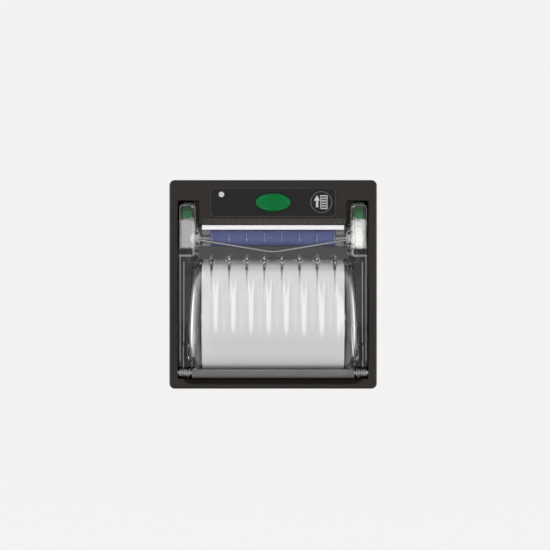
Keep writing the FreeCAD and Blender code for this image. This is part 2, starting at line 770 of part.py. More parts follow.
def make_platen_guide():
    """A moulding behind the lid, under the platen, with a seat round the roller."""
    front, rear = plate_rear + snug, plate_rear + snug + guide_depth
    top = platen_z - guide_drop
    bottom = top - guide_height
    body = side_prism([(front, bottom, 0.5), (front + 2, bottom, 0.5), (rear, bottom + 2.8, 1.0),
                       (rear, top, 0), (front, top, 0.4)], -ear_inner + slip, ear_inner - slip)
    return body.cut(rod(-40, 40, platen_y, platen_z, platen_radius + slip))


def make_hinge_pins():
    x0 = barrel_half_width - pin_bed + slip
    return pair(rod(x0, opening_half_width + pin_hold - 0.1, hinge_y, hinge_z, pin_radius))


def make_torsion_springs():
    """Springs on the hinge pins: one leg lies behind the lid, the other reaches back into the housing."""
    radius = barrel_radius - torsion_wire / 2
    x0 = barrel_half_width + torsion_wire / 2 + 0.15
    length = opening_half_width - x0 - torsion_wire / 2 - 0.15
    spring = coil(Vector(x0, hinge_y, hinge_z), Vector(1, 0, 0), radius, torsion_wire / 2, length,
                  torsion_turns)
    leg_y = plate_rear + torsion_wire / 2 + 0.1
    leg_x = x0 + length / 2 + 0.6
    up = Part.makeCylinder(torsion_wire / 2, torsion_leg, Vector(leg_x, leg_y, hinge_z + radius * 0.75))
    foot = Part.makeCylinder(torsion_wire / 2, torsion_foot, Vector(x0 + 1.2, hinge_y, hinge_z - radius),
                             Vector(0, 1, 0))
    return pair(fuse([spring, up, foot]))


# ---- platen, rollers and gears ----
def gear_face(teeth, x, y, z, turned):
    """An involute gear seen from the side. turned is the direction of a tooth's middle, up from +Y."""
    pitch_radius = gear_module * teeth / 2
    base = pitch_radius * math.cos(pressure_angle)
    tip = pitch_radius + 0.8 * gear_module
    root = pitch_radius - 1.05 * gear_module
    half_tooth = math.pi / (2 * teeth) - backlash / (2 * pitch_radius)
    spread = math.tan(pressure_angle) - pressure_angle

    def flank(radius):
        turn = math.acos(min(1.0, base / radius))
        return half_tooth + spread - (math.tan(turn) - turn)

    start = max(base, root)
    radii = [start + (tip - start) * i / 3 for i in range(4)]
    side = [(root, flank(start))] * (root < start) + [(radius, flank(radius)) for radius in radii]
    points = []
    for i in range(teeth):
        middle = math.radians(turned) + 2 * math.pi * i / teeth
        for radius, half in side:
            points.append((radius, middle - half))
        for radius, half in reversed(side):
            points.append((radius, middle + half))
    rim = [Vector(x, y + r * math.cos(a), z + r * math.sin(a)) for r, a in points]
    return Part.Face(Part.makePolygon(rim + rim[:1]))


def make_gear(teeth, y, z, turned, bore, hub):
    """A spur gear with a web, a hub and a bore."""
    x0 = gear_inner
    gear = gear_face(teeth, x0, y, z, turned).extrude(Vector(gear_width, 0, 0))
    rim = gear_module * teeth / 2 - 1.6
    if rim > hub + 0.8:
        ring = rod(x0 + gear_width - 0.8, x0 + gear_width + 1, y, z, rim)
        gear = gear.cut(ring.cut(rod(x0, x0 + gear_width + 1, y, z, hub)))
    return gear.cut(rod(x0 - 1, x0 + gear_width + 1, y, z, bore))


def toward(y, z, distance, angle):
    return y + distance * math.cos(math.radians(angle)), z + distance * math.sin(math.radians(angle))


idler_y, idler_z = toward(platen_y, platen_z, gear_module * (platen_teeth + idler_teeth) / 2, idler_angle)
pinion_y, pinion_z = toward(idler_y, idler_z, gear_module * (idler_teeth + pinion_teeth) / 2, pinion_angle)
motor_edge = pinion_y - motor_radius - 0.4


def gear_turns():
    """Directions of a tooth of each gear, so that each tooth meets a gap of the next gear."""
    platen_turned = idler_angle
    idler_turned = idler_angle + 180 + 180 / idler_teeth
    gap_at = (pinion_angle - idler_turned) * idler_teeth / 360
    share = gap_at - math.floor(gap_at)
    pinion_turned = pinion_angle + 180 + (share - 0.5) * 360 / pinion_teeth
    return platen_turned, idler_turned, pinion_turned


def make_paper_web():
    """The paper from the roll's back, under the guide bar, up behind the platen and out of the slot."""
    half = paper_thickness / 2
    wrap = platen_radius + nip_gap + half
    back = platen_y + wrap
    gap = math.hypot(bend_y - roll_y, bend_z - roll_z)
    reach = roll_radius + nip_gap + half
    lean = math.atan2(bend_z - roll_z, bend_y - roll_y) - math.acos((reach + bend_radius) / gap)
    outward = Vector(0, math.cos(lean), math.sin(lean))
    start = Vector(0, roll_y, roll_z) + outward * reach
    turn_in = Vector(0, bend_y, bend_z) - outward * bend_radius
    top, last = math.radians(exit_angle), math.radians(90 - curl_angle)
    leave = Vector(0, platen_y + wrap * math.cos(top), platen_z + wrap * math.sin(top))
    forward = Vector(0, -math.sin(top), math.cos(top))
    turn_out = leave + forward * ((leave.y - curl_y) / -forward.y)
    curl = turn_out + Vector(0, math.cos(top), math.sin(top)) * curl_radius
    turn_up = curl - Vector(0, math.cos(last), math.sin(last)) * curl_radius
    end = turn_up + Vector(0, -math.sin(last), math.cos(last)) * curl_end

    def straight(a, b):
        across = Vector(1, 0, 0).cross(b - a).normalize() * half
        shift = Vector(-paper_width / 2, 0, 0)
        ring = [a + across + shift, b + across + shift, b - across + shift, a - across + shift]
        return Part.Face(Part.makePolygon(ring + ring[:1])).extrude(Vector(paper_width, 0, 0))

    def bent(centre_y, centre_z, radius, first, last):
        line = [Vector(-paper_width / 2, centre_y + r * math.cos(first), centre_z + r * math.sin(first))
                for r in (radius - half, radius + half)]
        ring = line + [p + Vector(paper_width, 0, 0) for p in reversed(line)]
        face = Part.Face(Part.makePolygon(ring + ring[:1]))
        return face.revolve(Vector(0, centre_y, centre_z), Vector(1, 0, 0), math.degrees(last - first))

    return fuse([
        straight(start, turn_in),
        bent(bend_y, bend_z, bend_radius, math.pi, math.pi + lean),
        straight(Vector(0, back, bend_z), Vector(0, back, platen_z)),
        bent(platen_y, platen_z, wrap, 0, top),
        straight(leave, turn_out),
        bent(curl.y, curl.z, curl_radius, math.pi + last, math.pi + top),
        straight(turn_up, end),
    ])


def make_roll():
    half = paper_width / 2
    roll = rod(-half, half, roll_y, roll_z, roll_radius)
    return roll.cut(rod(-half - 1, half + 1, roll_y, roll_z, core_radius + snug))


def make_core():
    half = paper_width / 2
    core = rod(-half, half, roll_y, roll_z, core_radius)
    return core.cut(rod(-half - 1, half + 1, roll_y, roll_z, core_bore_radius))


# ---- mechanism ----
def make_side_plate():
    x1 = side_plate_inner + side_plate
    plate = side_prism([(0, plate_bottom, 0.8), (plate_depth, plate_bottom, 0.8),
                        (plate_depth, plate_high_top, 3.0), (motor_edge, plate_high_top, 2.0),
                        (latch_y + 2.6, plate_low_top, 0), (latch_y - 1.8, plate_low_top, 0.5),
                        (0, plate_low_top - 3, 0.5)], side_plate_inner, x1)
    room = bush_radius + slip
    slot = box(0, x1 + 1, -1, platen_y, platen_z - room, platen_z + room)
    return plate.cut(fuse([slot, rod(0, x1 + 1, platen_y, platen_z, room)]))


def make_mechanism_frame():
    """Folded steel: two side plates, a cross plate between them, a spring tab and a foot on each side."""
    x1 = side_plate_inner + side_plate
    side = make_side_plate()
    side = side.cut(rod(0, x1 + 1, latch_y, latch_z, latch_pin_radius + running))
    side = side.cut(rod(0, x1 + 1, head_pivot_y, head_pivot_z, head_pin_radius + running))
    foot = box(x1 - 0.1, wall_inner_width - slip, *frame_foot, plate_bottom, plate_bottom + side_plate)
    side = fuse([side, foot])
    right = side.cut(rod(0, x1 + 1, pinion_y, pinion_z, motor_boss_radius + snug))
    stud = rod(side_plate_inner, shaft_end, idler_y, idler_z, gear_bore_radius)
    cross = box(-side_plate_inner, side_plate_inner, cross_plate_y, cross_plate_y + side_plate,
                cross_plate_bottom, cross_plate_top)
    tab = front_prism(rectangle(-tab_half_width, tab_half_width, cross_plate_top - 2, button_z + 3.3, 1.0),
                      cross_plate_y, cross_plate_y + side_plate)
    bar_radius = bend_radius - nip_gap - paper_thickness / 2
    bar = rod(-side_plate_inner, side_plate_inner, bend_y, bend_z, bar_radius)
    return fuse([right, stud, other_side(side), cross, tab, bar])


def make_print_head():
    """The ceramic strip with its glazed heating line."""
    rear = head_front + head_thickness
    strip = box(-head_half_width, head_half_width, head_front, rear, head_bottom, head_bottom + head_height)
    cover = box(-head_half_width + 2, head_half_width - 2, rear - 0.2, rear, head_bottom + head_height,
                head_bottom + head_height + 0.6)
    return fuse([strip, cover])


def make_heat_sink():
    """An aluminium bar with grooves along its back and a pivot pin at each end."""
    front = head_front + head_thickness
    rear = front + sink_depth
    top = head_bottom + head_height + 0.8
    bar = box(-sink_half_width, sink_half_width, front, rear, head_bottom - 0.1, top)
    bar = bar.makeFillet(0.4, [e for e in edges_at_y(bar, rear) if e.Length > 10])
    for i in range(3):
        z = head_bottom + 1.2 + 3.0 * i
        bar = bar.cut(box(-sink_half_width - 1, sink_half_width + 1, rear - 0.6, rear + 1, z, z + 0.9))
    pins = pair(rod(sink_half_width - 1, side_plate_inner + side_plate, head_pivot_y, head_pivot_z,
                    head_pin_radius))
    return fuse([bar] + pins)


def make_head_springs():
    rear = head_front + head_thickness + sink_depth
    length = cross_plate_y - rear - 2 * slip - spring_wire
    return [coil(Vector(sign * head_spring_x, rear + slip + spring_wire / 2, head_spring_z), Vector(0, 1, 0),
                 head_spring_radius, spring_wire / 2, length, head_spring_turns) for sign in (-1, 1)]


def make_latch_bar():
    """One green moulding: a beam with a push tab in its middle, two pivot lugs and two hooks."""
    rear = latch_beam_front + latch_beam_thickness
    beam = box(-hook_outer, hook_outer, latch_beam_front, rear, latch_beam_bottom, latch_beam_top)
    tab = front_prism(rectangle(-5, 5, latch_beam_bottom + 1, button_z + 2.4, 1.5), stem_end + stem_gap,
                      latch_beam_front + 0.4)
    lug_outer = side_plate_inner - slip
    lug = side_prism([(latch_y - 2.1, latch_z - 2.1, 1.9), (latch_y + 2.1, latch_z - 2.1, 1.9),
                      (latch_y + 2.1, latch_z + 2.1, 1.9), (rear, latch_beam_bottom + 2.6, 0),
                      (latch_beam_front, latch_beam_bottom + 2.6, 0),
                      (latch_beam_front, latch_beam_bottom, 0)], sink_half_width + 1, lug_outer)
    pin = rod(lug_outer - 0.5, side_plate_inner + side_plate + slip, latch_y, latch_z, latch_pin_radius)
    hook = side_prism([(hook_front, latch_beam_bottom - tooth_drop, 0.3),
                       (hook_front + tooth_thickness, latch_beam_bottom - tooth_drop, 0.3),
                       (hook_front + tooth_thickness, latch_beam_bottom, 0.3),
                       (latch_beam_front + 0.2, latch_beam_bottom, 0),
                       (latch_beam_front + 0.2, latch_beam_bottom + hook_thickness, 0),
                       (hook_front, latch_beam_bottom + hook_thickness, 1.0)], hook_inner, hook_outer)
    return fuse([beam, tab] + pair(lug) + pair(pin) + pair(hook))


def make_latch_spring():
    start = latch_beam_front + 0.4 + slip + spring_wire / 2
    length = cross_plate_y - start - slip - spring_wire / 2
    return coil(Vector(0, start, button_z + 0.3), Vector(0, 1, 0), latch_spring_radius, spring_wire / 2,
                length, latch_spring_turns)


def make_motor():
    x1 = side_plate_inner
    can = rod(x1 - motor_length, x1 - motor_flange, pinion_y, pinion_z, motor_radius)
    can = can.makeFillet(0.5, [e for e in can.Edges if abs(e.CenterOfMass.x - (x1 - motor_length)) < 1e-3])
    flange = rod(x1 - motor_flange, x1, pinion_y, pinion_z, motor_radius)
    boss = rod(x1 - 0.1, x1 + side_plate, pinion_y, pinion_z, motor_boss_radius)
    body = fuse([can, flange, boss])
    return body.cut(rod(x1 - motor_shaft_inside - 0.5, x1 + 2, pinion_y, pinion_z,
                        motor_shaft_radius + running))


def make_sensor():
    """A reflective paper-end sensor on the cross plate, behind the paper."""
    return box(-3, 3, cross_plate_y - 2.0, cross_plate_y, cross_plate_bottom + 0.2, cross_plate_bottom + 2.2)


# ---- housing ----
def housing_outline(inset, corner):
    """Seen from the front: a square drawn in on both sides at the clamp pockets."""
    wide, high = housing_half_width - inset, housing_half_height - inset
    narrow, top, bottom = pocket_half_width - inset, pocket_top + inset, pocket_bottom - inset
    right = [(wide, -high, corner), (wide, bottom, corner), (narrow, bottom, 0.5), (narrow, top, 0.5),
             (wide, top, corner), (wide, high, corner)]
    left = [(-x, z, radius) for x, z, radius in reversed(right)]
    return right + left


def vents(sign, y):
    """A row of slots through the housing's top or bottom wall."""
    z0 = sign * (housing_half_height - skin / 2) - skin
    slots = []
    for i in range(vent_count):
        x = (i - (vent_count - 1) / 2) * vent_pitch
        slots.append(box(x - vent_width / 2, x + vent_width / 2, y - vent_length / 2, y + vent_length / 2,
                         z0, z0 + 2 * skin))
    return slots


def at_side(sign, low, high, *rest):
    """A box between two distances from the middle, on the side that sign gives."""
    return box(*sorted((sign * low, sign * high)), *rest)


def make_housing():
    outer = front_prism(housing_outline(0, housing_corner), -housing_seat, housing_depth)
    inner = front_prism(housing_outline(skin, 0.4), -housing_seat - 1, housing_depth + 1)
    body = outer.cut(inner)
    for sign in (-1, 1):
        for slot in vents(sign, vent_y):
            body = body.cut(slot)
    adds = []
    top, side = wall_inner_height + 0.1, wall_inner_width + 0.1
    for sx in (-1, 1):
        adds.append(at_side(sx, frame_screw_x - frame_block, frame_screw_x + frame_block, 0,
                            frame_block_depth, frame_screw_z - 2.6, top))
        for sz in (-1, 1):
            adds.append(post(board_y - board_post_length, board_y, sx * board_post_x,
                             sz * (top - post_radius + 0.4), post_radius))
            adds.append(at_side(sx, side - corner_block, side, housing_depth - corner_block_length,
                                housing_depth, *sorted((sz * (top - corner_block), sz * top))))
    adds += pair(box(pocket_half_width - 0.1, housing_half_width, -housing_seat, 0,
                     pocket_bottom - 0.1, pocket_top + 0.1))
    for y in ledge_y:
        adds += pair(box(pocket_half_width, side, y, y + ledge_width, pocket_top - 0.1, plate_bottom))
    adds += pair(box(pocket_half_width - 0.1, housing_half_width - 0.4, lug_front, lug_front + lug_thickness,
                     clamp_z - lug_half_height, clamp_z + lug_half_height))
    adds += pair(box(pocket_half_width - 0.1, pocket_half_width + rail_reach, 2, lug_front + 0.1,
                     clamp_z - rail_half_height, clamp_z + rail_half_height))
    body = fuse([body] + adds)
    for sx in (-1, 1):
        body = body.cut(post(lug_front - 1, lug_front + lug_thickness + 1, sx * clamp_x, clamp_z,
                             screw_radius + running))
        body = body.cut(post(-1, frame_block_depth + 1, sx * frame_screw_x, frame_screw_z,
                             frame_screw_radius + slip))
        for sz in (-1, 1):
            body = body.cut(post(housing_depth - 8, housing_depth + 1, sx * cover_screw_x, sz * cover_screw_z,
                                 cover_screw_radius + snug))
    return body


def make_bucket():
    """A trough round the paper roll, with an end wall on each side and feet on the housing's floor."""
    outer_radius = bucket_radius + bucket_wall
    half = bucket_half_width + bucket_wall
    ring = rod(-half, half, roll_y, roll_z, outer_radius)
    ring = ring.cut(rod(-bucket_half_width, bucket_half_width, roll_y, roll_z, bucket_radius))
    sides = ring.common(box(-half, half, bucket_lip_y, roll_y + outer_radius + 1, roll_z - outer_radius - 1,
                            bucket_side_top))
    mouth = box(-bucket_half_width, bucket_half_width, -50, 50, bucket_back_top, 50)
    body = sides.cut(mouth)
    floor = -wall_inner_height
    feet = [box(x - bucket_foot, x + bucket_foot, roll_y - 5, roll_y + 9, floor,
                roll_z - bucket_radius - 0.4)
            for x in bucket_foot_x]
    return fuse([body] + feet)


def make_rear_cover():
    y0 = housing_depth
    cover = front_prism(housing_outline(0.15, housing_corner), y0, y0 + cover_thickness)
    cover = cover.cut(front_prism(plug_outline(data_plug, slip), y0 - 1, y0 + 3))
    cover = cover.cut(front_prism(plug_outline(power_plug, slip), y0 - 1, y0 + 3))
    for i in range(grille_count):
        z = grille_low + grille_pitch * i
        slot = rectangle(-grille_half_width, grille_half_width, z, z + grille_slot, 0.8)
        cover = cover.cut(front_prism(slot, y0 - 1, y0 + 3))
    for sx in (-1, 1):
        for sz in (-1, 1):
            cover = cover.cut(post(y0 - 1, y0 + 3, sx * cover_screw_x, sz * cover_screw_z,
                                   cover_screw_radius + slip))
    return cover


def screw(y0, x, z, shank_radius, length, head_radius, head):
    """A pan-head screw whose head stands at y0 and whose shank runs towards the front."""
    body = fuse([post(y0 - length, y0 + 0.1, x, z, shank_radius), post(y0, y0 + head, x, z, head_radius)])
    body = body.makeChamfer(0.25, [e for e in edges_at_y(body, y0 + head)])
    return body.cut(box(x - head_radius, x + head_radius, y0 + head * 0.55, y0 + head + 1, z - 0.3, z + 0.3))


def make_cover_screws():
    y0 = housing_depth + cover_thickness
    return [screw(y0, sx * cover_screw_x, sz * cover_screw_z, cover_screw_radius, cover_screw_length,
                  *cover_screw_head)
            for sx in (-1, 1) for sz in (-1, 1)]


def make_frame_screws():
    return [screw(frame_block_depth, sx * frame_screw_x, frame_screw_z, frame_screw_radius,
                  frame_screw_length, *frame_screw_head)
            for sx in (-1, 1)]


# ---- electronics ----
def plug_outline(plug, grow):
    x0, x1, half = plug
    return rectangle(x0 - grow, x1 + grow, plug_z - half - grow, plug_z + half + grow, 0.3)


def make_board():
    outline = rectangle(-board_half_width, board_half_width, -board_half_height, board_half_height, 1.0)
    return front_prism(outline, board_y, board_y + board_thickness)


def make_chips():
    rear = board_y + board_thickness
    flat = [box(x - w / 2, x + w / 2, rear, rear + t, z - h / 2, z + h / 2) for x, z, w, h, t in chips]
    return flat + [post(rear, rear + can_height, x, can_z, can_radius) for x in can_x]


def make_socket(plug, pins, rows):
    """An open-mouthed connector on the control board, with its pins."""
    rear = board_y + board_thickness
    mouth = housing_depth + cover_thickness + plug_proud
    x0, x1, half = plug
    body = front_prism(plug_outline(plug, 0), rear, mouth)
    body = body.cut(box(x0 + plug_wall, x1 - plug_wall, rear + plug_floor, mouth + 1,
                        plug_z - half + plug_wall, plug_z + half - plug_wall))
    spikes = []
    for i in range(pins):
        x = (x0 + x1) / 2 + (i - (pins - 1) / 2) * pin_pitch
        for row in range(rows):
            z = plug_z + (row - (rows - 1) / 2) * pin_pitch
            spikes.append(box(x - 0.3, x + 0.3, rear + plug_floor - 0.3, mouth - plug_floor,
                              z - 0.3, z + 0.3))
    return fuse([body] + spikes)


# ---- panel clamps ----
def make_jaw():
    """The right jaw: a block on the jack screw with a wing that reaches behind the panel."""
    block = box(pocket_half_width + slip, housing_half_width - 0.4, jaw_front, jaw_front + jaw_length,
                clamp_z - jaw_half_height, clamp_z + jaw_half_height)
    wing = front_prism(rectangle(housing_half_width - 2, jaw_reach, clamp_z - jaw_half_height,
                                 clamp_z + jaw_half_height, 1.2), jaw_front, jaw_front + jaw_wing)
    web = Part.Face(Part.makePolygon([
        Vector(housing_half_width - 0.5, jaw_front + jaw_wing - 0.1, clamp_z - 1),
        Vector(jaw_reach - 1.2, jaw_front + jaw_wing - 0.1, clamp_z - 1),
        Vector(housing_half_width - 0.5, jaw_front + jaw_length, clamp_z - 1),
        Vector(housing_half_width - 0.5, jaw_front + jaw_wing - 0.1, clamp_z - 1)])).extrude(Vector(0, 0, 2))
    jaw = fuse([block, wing, web])
    jaw = jaw.cut(post(jaw_front - 1, jaw_front + jaw_length + 1, clamp_x, clamp_z, screw_radius + running))
    groove = box(pocket_half_width, pocket_half_width + rail_reach + slip, jaw_front - 1,
                 jaw_front + jaw_length + 1, clamp_z - rail_half_height - slip,
                 clamp_z + rail_half_height + slip)
    return jaw.cut(groove)


def make_jack_screw():
    head_y = lug_front + lug_thickness + running
    return screw(head_y, clamp_x, clamp_z, screw_radius, head_y - screw_tip, screw_head_radius, screw_head)


save("bezel", make_bezel())
save("keypad_label", make_label())
save("release_button", make_button())
save("feed_key", make_key())
save("key_board", make_key_board())
save("tear_bar", make_tear_bar())
save("lid_cover", make_lid())
save("platen_guide", make_platen_guide())
save("hinge_pins", *make_hinge_pins())
save("torsion_springs", *make_torsion_springs())

platen_turn, idler_turn, pinion_turn = gear_turns()
save("platen_shaft", rod(-bush_end - 0.6, shaft_end, platen_y, platen_z, platen_shaft_radius))
rubber = rod(-platen_half_width, platen_half_width, platen_y, platen_z, platen_radius)
save("platen_rubber", rubber.cut(rod(-40, 40, platen_y, platen_z, platen_shaft_radius + snug)))
save("platen_gear", make_gear(platen_teeth, platen_y, platen_z, platen_turn, platen_shaft_radius + snug, 2.0))
bush = rod(ear_inner - 0.6, bush_end, platen_y, platen_z, bush_radius)
bush = bush.cut(rod(0, 50, platen_y, platen_z, platen_shaft_radius + running))
save("platen_bushes", *pair(bush))
save("idler_gear", make_gear(idler_teeth, idler_y, idler_z, idler_turn, gear_bore_radius + running, 2.2))
save("motor_pinion", make_gear(pinion_teeth, pinion_y, pinion_z, pinion_turn, motor_shaft_radius + snug, 1.8))
save("motor_shaft", rod(side_plate_inner - motor_shaft_inside, shaft_end, pinion_y, pinion_z,
                        motor_shaft_radius))
save("stepper_motor", make_motor())

save("paper_roll", make_roll())
save("roll_core", make_core())
save("paper_web", make_paper_web())
save("mechanism_frame", make_mechanism_frame())
save("print_head", make_print_head())
save("heat_sink", make_heat_sink())
save("head_springs", *make_head_springs())
save("latch_bar", make_latch_bar())
save("latch_spring", make_latch_spring())
save("paper_sensor", make_sensor())

save("rear_housing", make_housing())
save("paper_bucket", make_bucket())
save("rear_cover", make_rear_cover())
save("cover_screws", *make_cover_screws())
save("frame_screws", *make_frame_screws())
save("control_board", make_board())
save("board_chips", *make_chips())
save("data_connector", make_socket(data_plug, 7, 2))
save("power_connector", make_socket(power_plug, 2, 1))

save("clamp_jaw_right", make_jaw())
save("clamp_jaw_left", other_side(make_jaw()))
save("jack_screw_right", make_jack_screw())
save("jack_screw_left", other_side(make_jack_screw()))
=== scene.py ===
import json
import math
import bmesh
import bpy
import numpy as np
from mathutils import Matrix, Vector


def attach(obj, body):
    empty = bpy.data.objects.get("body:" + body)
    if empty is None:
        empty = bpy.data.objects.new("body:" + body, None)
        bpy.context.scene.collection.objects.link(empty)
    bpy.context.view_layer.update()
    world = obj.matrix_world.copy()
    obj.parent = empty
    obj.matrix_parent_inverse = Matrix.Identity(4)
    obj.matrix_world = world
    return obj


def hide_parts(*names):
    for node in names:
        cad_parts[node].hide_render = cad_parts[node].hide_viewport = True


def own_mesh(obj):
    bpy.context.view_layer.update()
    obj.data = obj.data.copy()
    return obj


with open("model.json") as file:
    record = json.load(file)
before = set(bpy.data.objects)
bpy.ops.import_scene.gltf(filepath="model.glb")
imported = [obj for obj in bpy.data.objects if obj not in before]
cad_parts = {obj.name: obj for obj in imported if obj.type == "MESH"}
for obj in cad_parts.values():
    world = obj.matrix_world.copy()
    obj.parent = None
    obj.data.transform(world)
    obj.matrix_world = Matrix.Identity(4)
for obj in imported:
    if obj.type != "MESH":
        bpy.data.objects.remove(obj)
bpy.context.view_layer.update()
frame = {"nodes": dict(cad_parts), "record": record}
mm = 0.001
# the roll's axis, which is the dome's too, and the lid's hinge axis; both run along x
rollAxis = {"y": 6.0, "z": -12.65}
hingeAxis = {"y": -2.8, "z": -35.8}
print("frame loaded:", len(frame["nodes"]), "nodes")


def gridFaces(rows, cols, wrapRows=False, wrapCols=False):
    # quads between neighbouring points of a grid, joined end to end where it wraps
    r = np.arange(rows if wrapRows else rows - 1)[:, None]
    c = np.arange(cols if wrapCols else cols - 1)[None, :]
    r2, c2 = (r + 1) % rows, (c + 1) % cols
    quads = np.stack([r * cols + c, r2 * cols + c, r2 * cols + c2, r * cols + c2], -1)
    return quads.reshape(-1, 4)


def circle(steps):
    return np.linspace(0, 2 * np.pi, steps, endpoint=False)


def addPiece(name, parts, material, body, replaced=(), sharp=35):
    # parts are (points, faces) pairs in mm; points closer than weld (in metres) are merged, the
    # normals turned outwards, and edges that turn by more than sharp (in degrees) stay sharp
    weld = 1e-6
    points, faces, start = [], [], 0
    for p, f in parts:
        p = np.asarray(p, float).reshape(-1, 3)
        points.append(p)
        faces.append(np.asarray(f) + start)
        start += len(p)
    mesh = bpy.data.meshes.new(name)
    mesh.from_pydata((np.concatenate(points) * mm).tolist(), [], np.concatenate(faces).tolist())
    bm = bmesh.new()
    bm.from_mesh(mesh)
    bmesh.ops.remove_doubles(bm, verts=bm.verts, dist=weld)
    bmesh.ops.dissolve_degenerate(bm, edges=bm.edges, dist=weld / 10)
    bmesh.ops.recalc_face_normals(bm, faces=bm.faces)
    bm.to_mesh(mesh)
    bm.free()
    mesh.shade_smooth()
    mesh.set_sharp_from_angle(angle=math.radians(sharp))
    mesh.materials.append(material)
    obj = bpy.data.objects.new(name, mesh)
    bpy.context.scene.collection.objects.link(obj)
    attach(obj, body)
    if replaced:
        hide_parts(*replaced)
    return obj


def turned(profile, y, z, steps=128):
    # a closed profile of (x, radius) turned about the line through y, z that runs along x
    p = np.asarray(profile, float)
    a = circle(steps)[:, None]
    x = np.broadcast_to(p[:, 0], (steps, len(p)))
    grid = np.stack([x, y + p[:, 1] * np.cos(a), z + p[:, 1] * np.sin(a)], -1)
    return grid, gridFaces(steps, len(p), True, True)


def ovalRings(rings, x, z, steps=96):
    # rings of (half width, half height, y), each an ellipse round x, z; the end rings close to
    # a point where their halves are 0
    p = np.asarray(rings, float)
    a = circle(steps)[:, None]
    y = np.broadcast_to(p[:, 2], (steps, len(p)))
    grid = np.stack([x + p[:, 0] * np.cos(a), y, z + p[:, 1] * np.sin(a)], -1)
    return grid, gridFaces(steps, len(p), True, False)


def roundRing(r, x, z, steps=96):
    # a ring round x, z whose section is an ellipse, wide outwards and deep along y by half
    turn = circle(r["sectionSteps"])
    out = r["ring"] + r["wide"] * np.cos(turn)
    rings = np.stack([out, out, r["y"] + r["deep"] * np.sin(turn)], -1)
    return ovalRings(rings, x, z, steps)[0], gridFaces(steps, len(rings), True, True)


def wire(path, radius, side, steps=14):
    # a round wire: a circle carried along the path, square to its direction, with a dome of a
    # few rings at each end
    domeRings = 4
    p = np.asarray(path, float)
    t = np.gradient(p, axis=0)
    t /= np.linalg.norm(t, axis=1, keepdims=True)
    bulge = np.linspace(0, np.pi / 2, domeRings + 1)[:-1]
    out, shrink = radius * np.cos(bulge)[:, None], np.sin(bulge)
    p = np.concatenate([p[:1] - t[:1] * out, p, p[-1:] + t[-1:] * out[::-1]])
    t = np.concatenate([np.repeat(t[:1], domeRings, 0), t, np.repeat(t[-1:], domeRings, 0)])
    r = np.concatenate([shrink, np.ones(len(p) - 2 * domeRings), shrink[::-1]]) * radius
    u = np.cross(t, side)
    u /= np.linalg.norm(u, axis=1, keepdims=True)
    v = np.cross(t, u)
    a = circle(steps)
    ring = np.cos(a)[None, :, None] * u[:, None] + np.sin(a)[None, :, None] * v[:, None]
    return p[:, None] + ring * r[:, None, None], gridFaces(len(p), steps, False, True)


def slab(front, rear):
    # a closed sheet between two grids of the same size
    rows, cols = front.shape[:2]
    loop = np.concatenate([front, rear[:, ::-1]], 1)
    body = loop.reshape(-1, 3), gridFaces(rows, 2 * cols, False, True)
    ends = [(np.stack([front[k], rear[k]]), gridFaces(2, cols)) for k in (0, -1)]
    return [body] + ends


def newGroup(name, inputs, outputs):
    tree = bpy.data.node_groups.new(name, "ShaderNodeTree")
    for label, kind, value in inputs:
        socket = tree.interface.new_socket(label, in_out="INPUT", socket_type=kind)
        socket.default_value = value
    for label, kind in outputs:
        tree.interface.new_socket(label, in_out="OUTPUT", socket_type=kind)
    return tree, tree.nodes.new("NodeGroupInput"), tree.nodes.new("NodeGroupOutput")


def addNode(tree, kind, **values):
    # a value sets the node's own property of that name, or else its input
    node = tree.nodes.new(kind)
    for key, value in values.items():
        if hasattr(node, key):
            setattr(node, key, value)
        else:
            node.inputs[key.replace("_", " ")].default_value = value
    return node


def feed(tree, node, *given):
    # each input takes a plain value or a link from another node's output
    for i, value in enumerate(given):
        if isinstance(value, (int, float, tuple)):
            node.inputs[i].default_value = value
        elif value is not None:
            tree.links.new(value, node.inputs[i])


def mathNode(tree, operation, a, b=None):
    node = addNode(tree, "ShaderNodeMath", operation=operation)
    feed(tree, node, a, b)
    return node.outputs[0]


def vectorNode(tree, operation, a, b=None, out=0):
    node = addNode(tree, "ShaderNodeVectorMath", operation=operation)
    feed(tree, node, a, b)
    return node.outputs[out]


def mixColours(tree, factor, a, b):
    # sockets 6 and 7 of a colour mix are its two colours, and output 2 is the result
    node = addNode(tree, "ShaderNodeMix", data_type="RGBA")
    for i, value in ((0, factor), (6, a), (7, b)):
        if isinstance(value, tuple):
            node.inputs[i].default_value = (*value, 1)
        else:
            tree.links.new(value, node.inputs[i])
    return node.outputs[2]


def objectPlace(tree):
    return tree.nodes.new("ShaderNodeTexCoord").outputs["Object"]


grainShape = {"roughness": 0.6, "heightDetail": 3.0, "patchDetail": 2.0}


def makeGrain(g):
    # Height is a fine pebbled grain, Patch a slow change across the surface, both from 0 to 1
    tree, given, gives = newGroup(
        "surfaceGrain",
        [("Grain", "NodeSocketFloat", 3000.0), ("Patches", "NodeSocketFloat", 60.0),
         ("Stretch", "NodeSocketVector", (1.0, 1.0, 1.0))],
        [("Height", "NodeSocketFloat"), ("Patch", "NodeSocketFloat")])
    pulled = vectorNode(tree, "MULTIPLY", objectPlace(tree), given.outputs["Stretch"])
    for label, source, detail in (("Height", "Grain", g["heightDetail"]),
                                  ("Patch", "Patches", g["patchDetail"])):
        noise = addNode(tree, "ShaderNodeTexNoise", Detail=detail, Roughness=g["roughness"])
        tree.links.new(pulled, noise.inputs["Vector"])
        tree.links.new(given.outputs[source], noise.inputs["Scale"])
        tree.links.new(noise.outputs["Fac"], gives.inputs[label])
    return tree


grainGroup = makeGrain(grainShape)


def newMaterial(name, **fixed):
    mat = bpy.data.materials.new(name)
    mat.use_nodes = True
    tree = mat.node_tree
    shader = tree.nodes["Principled BSDF"]
    for key, value in fixed.items():
        shader.inputs[key.replace("_", " ")].default_value = value
    return mat, tree, shader


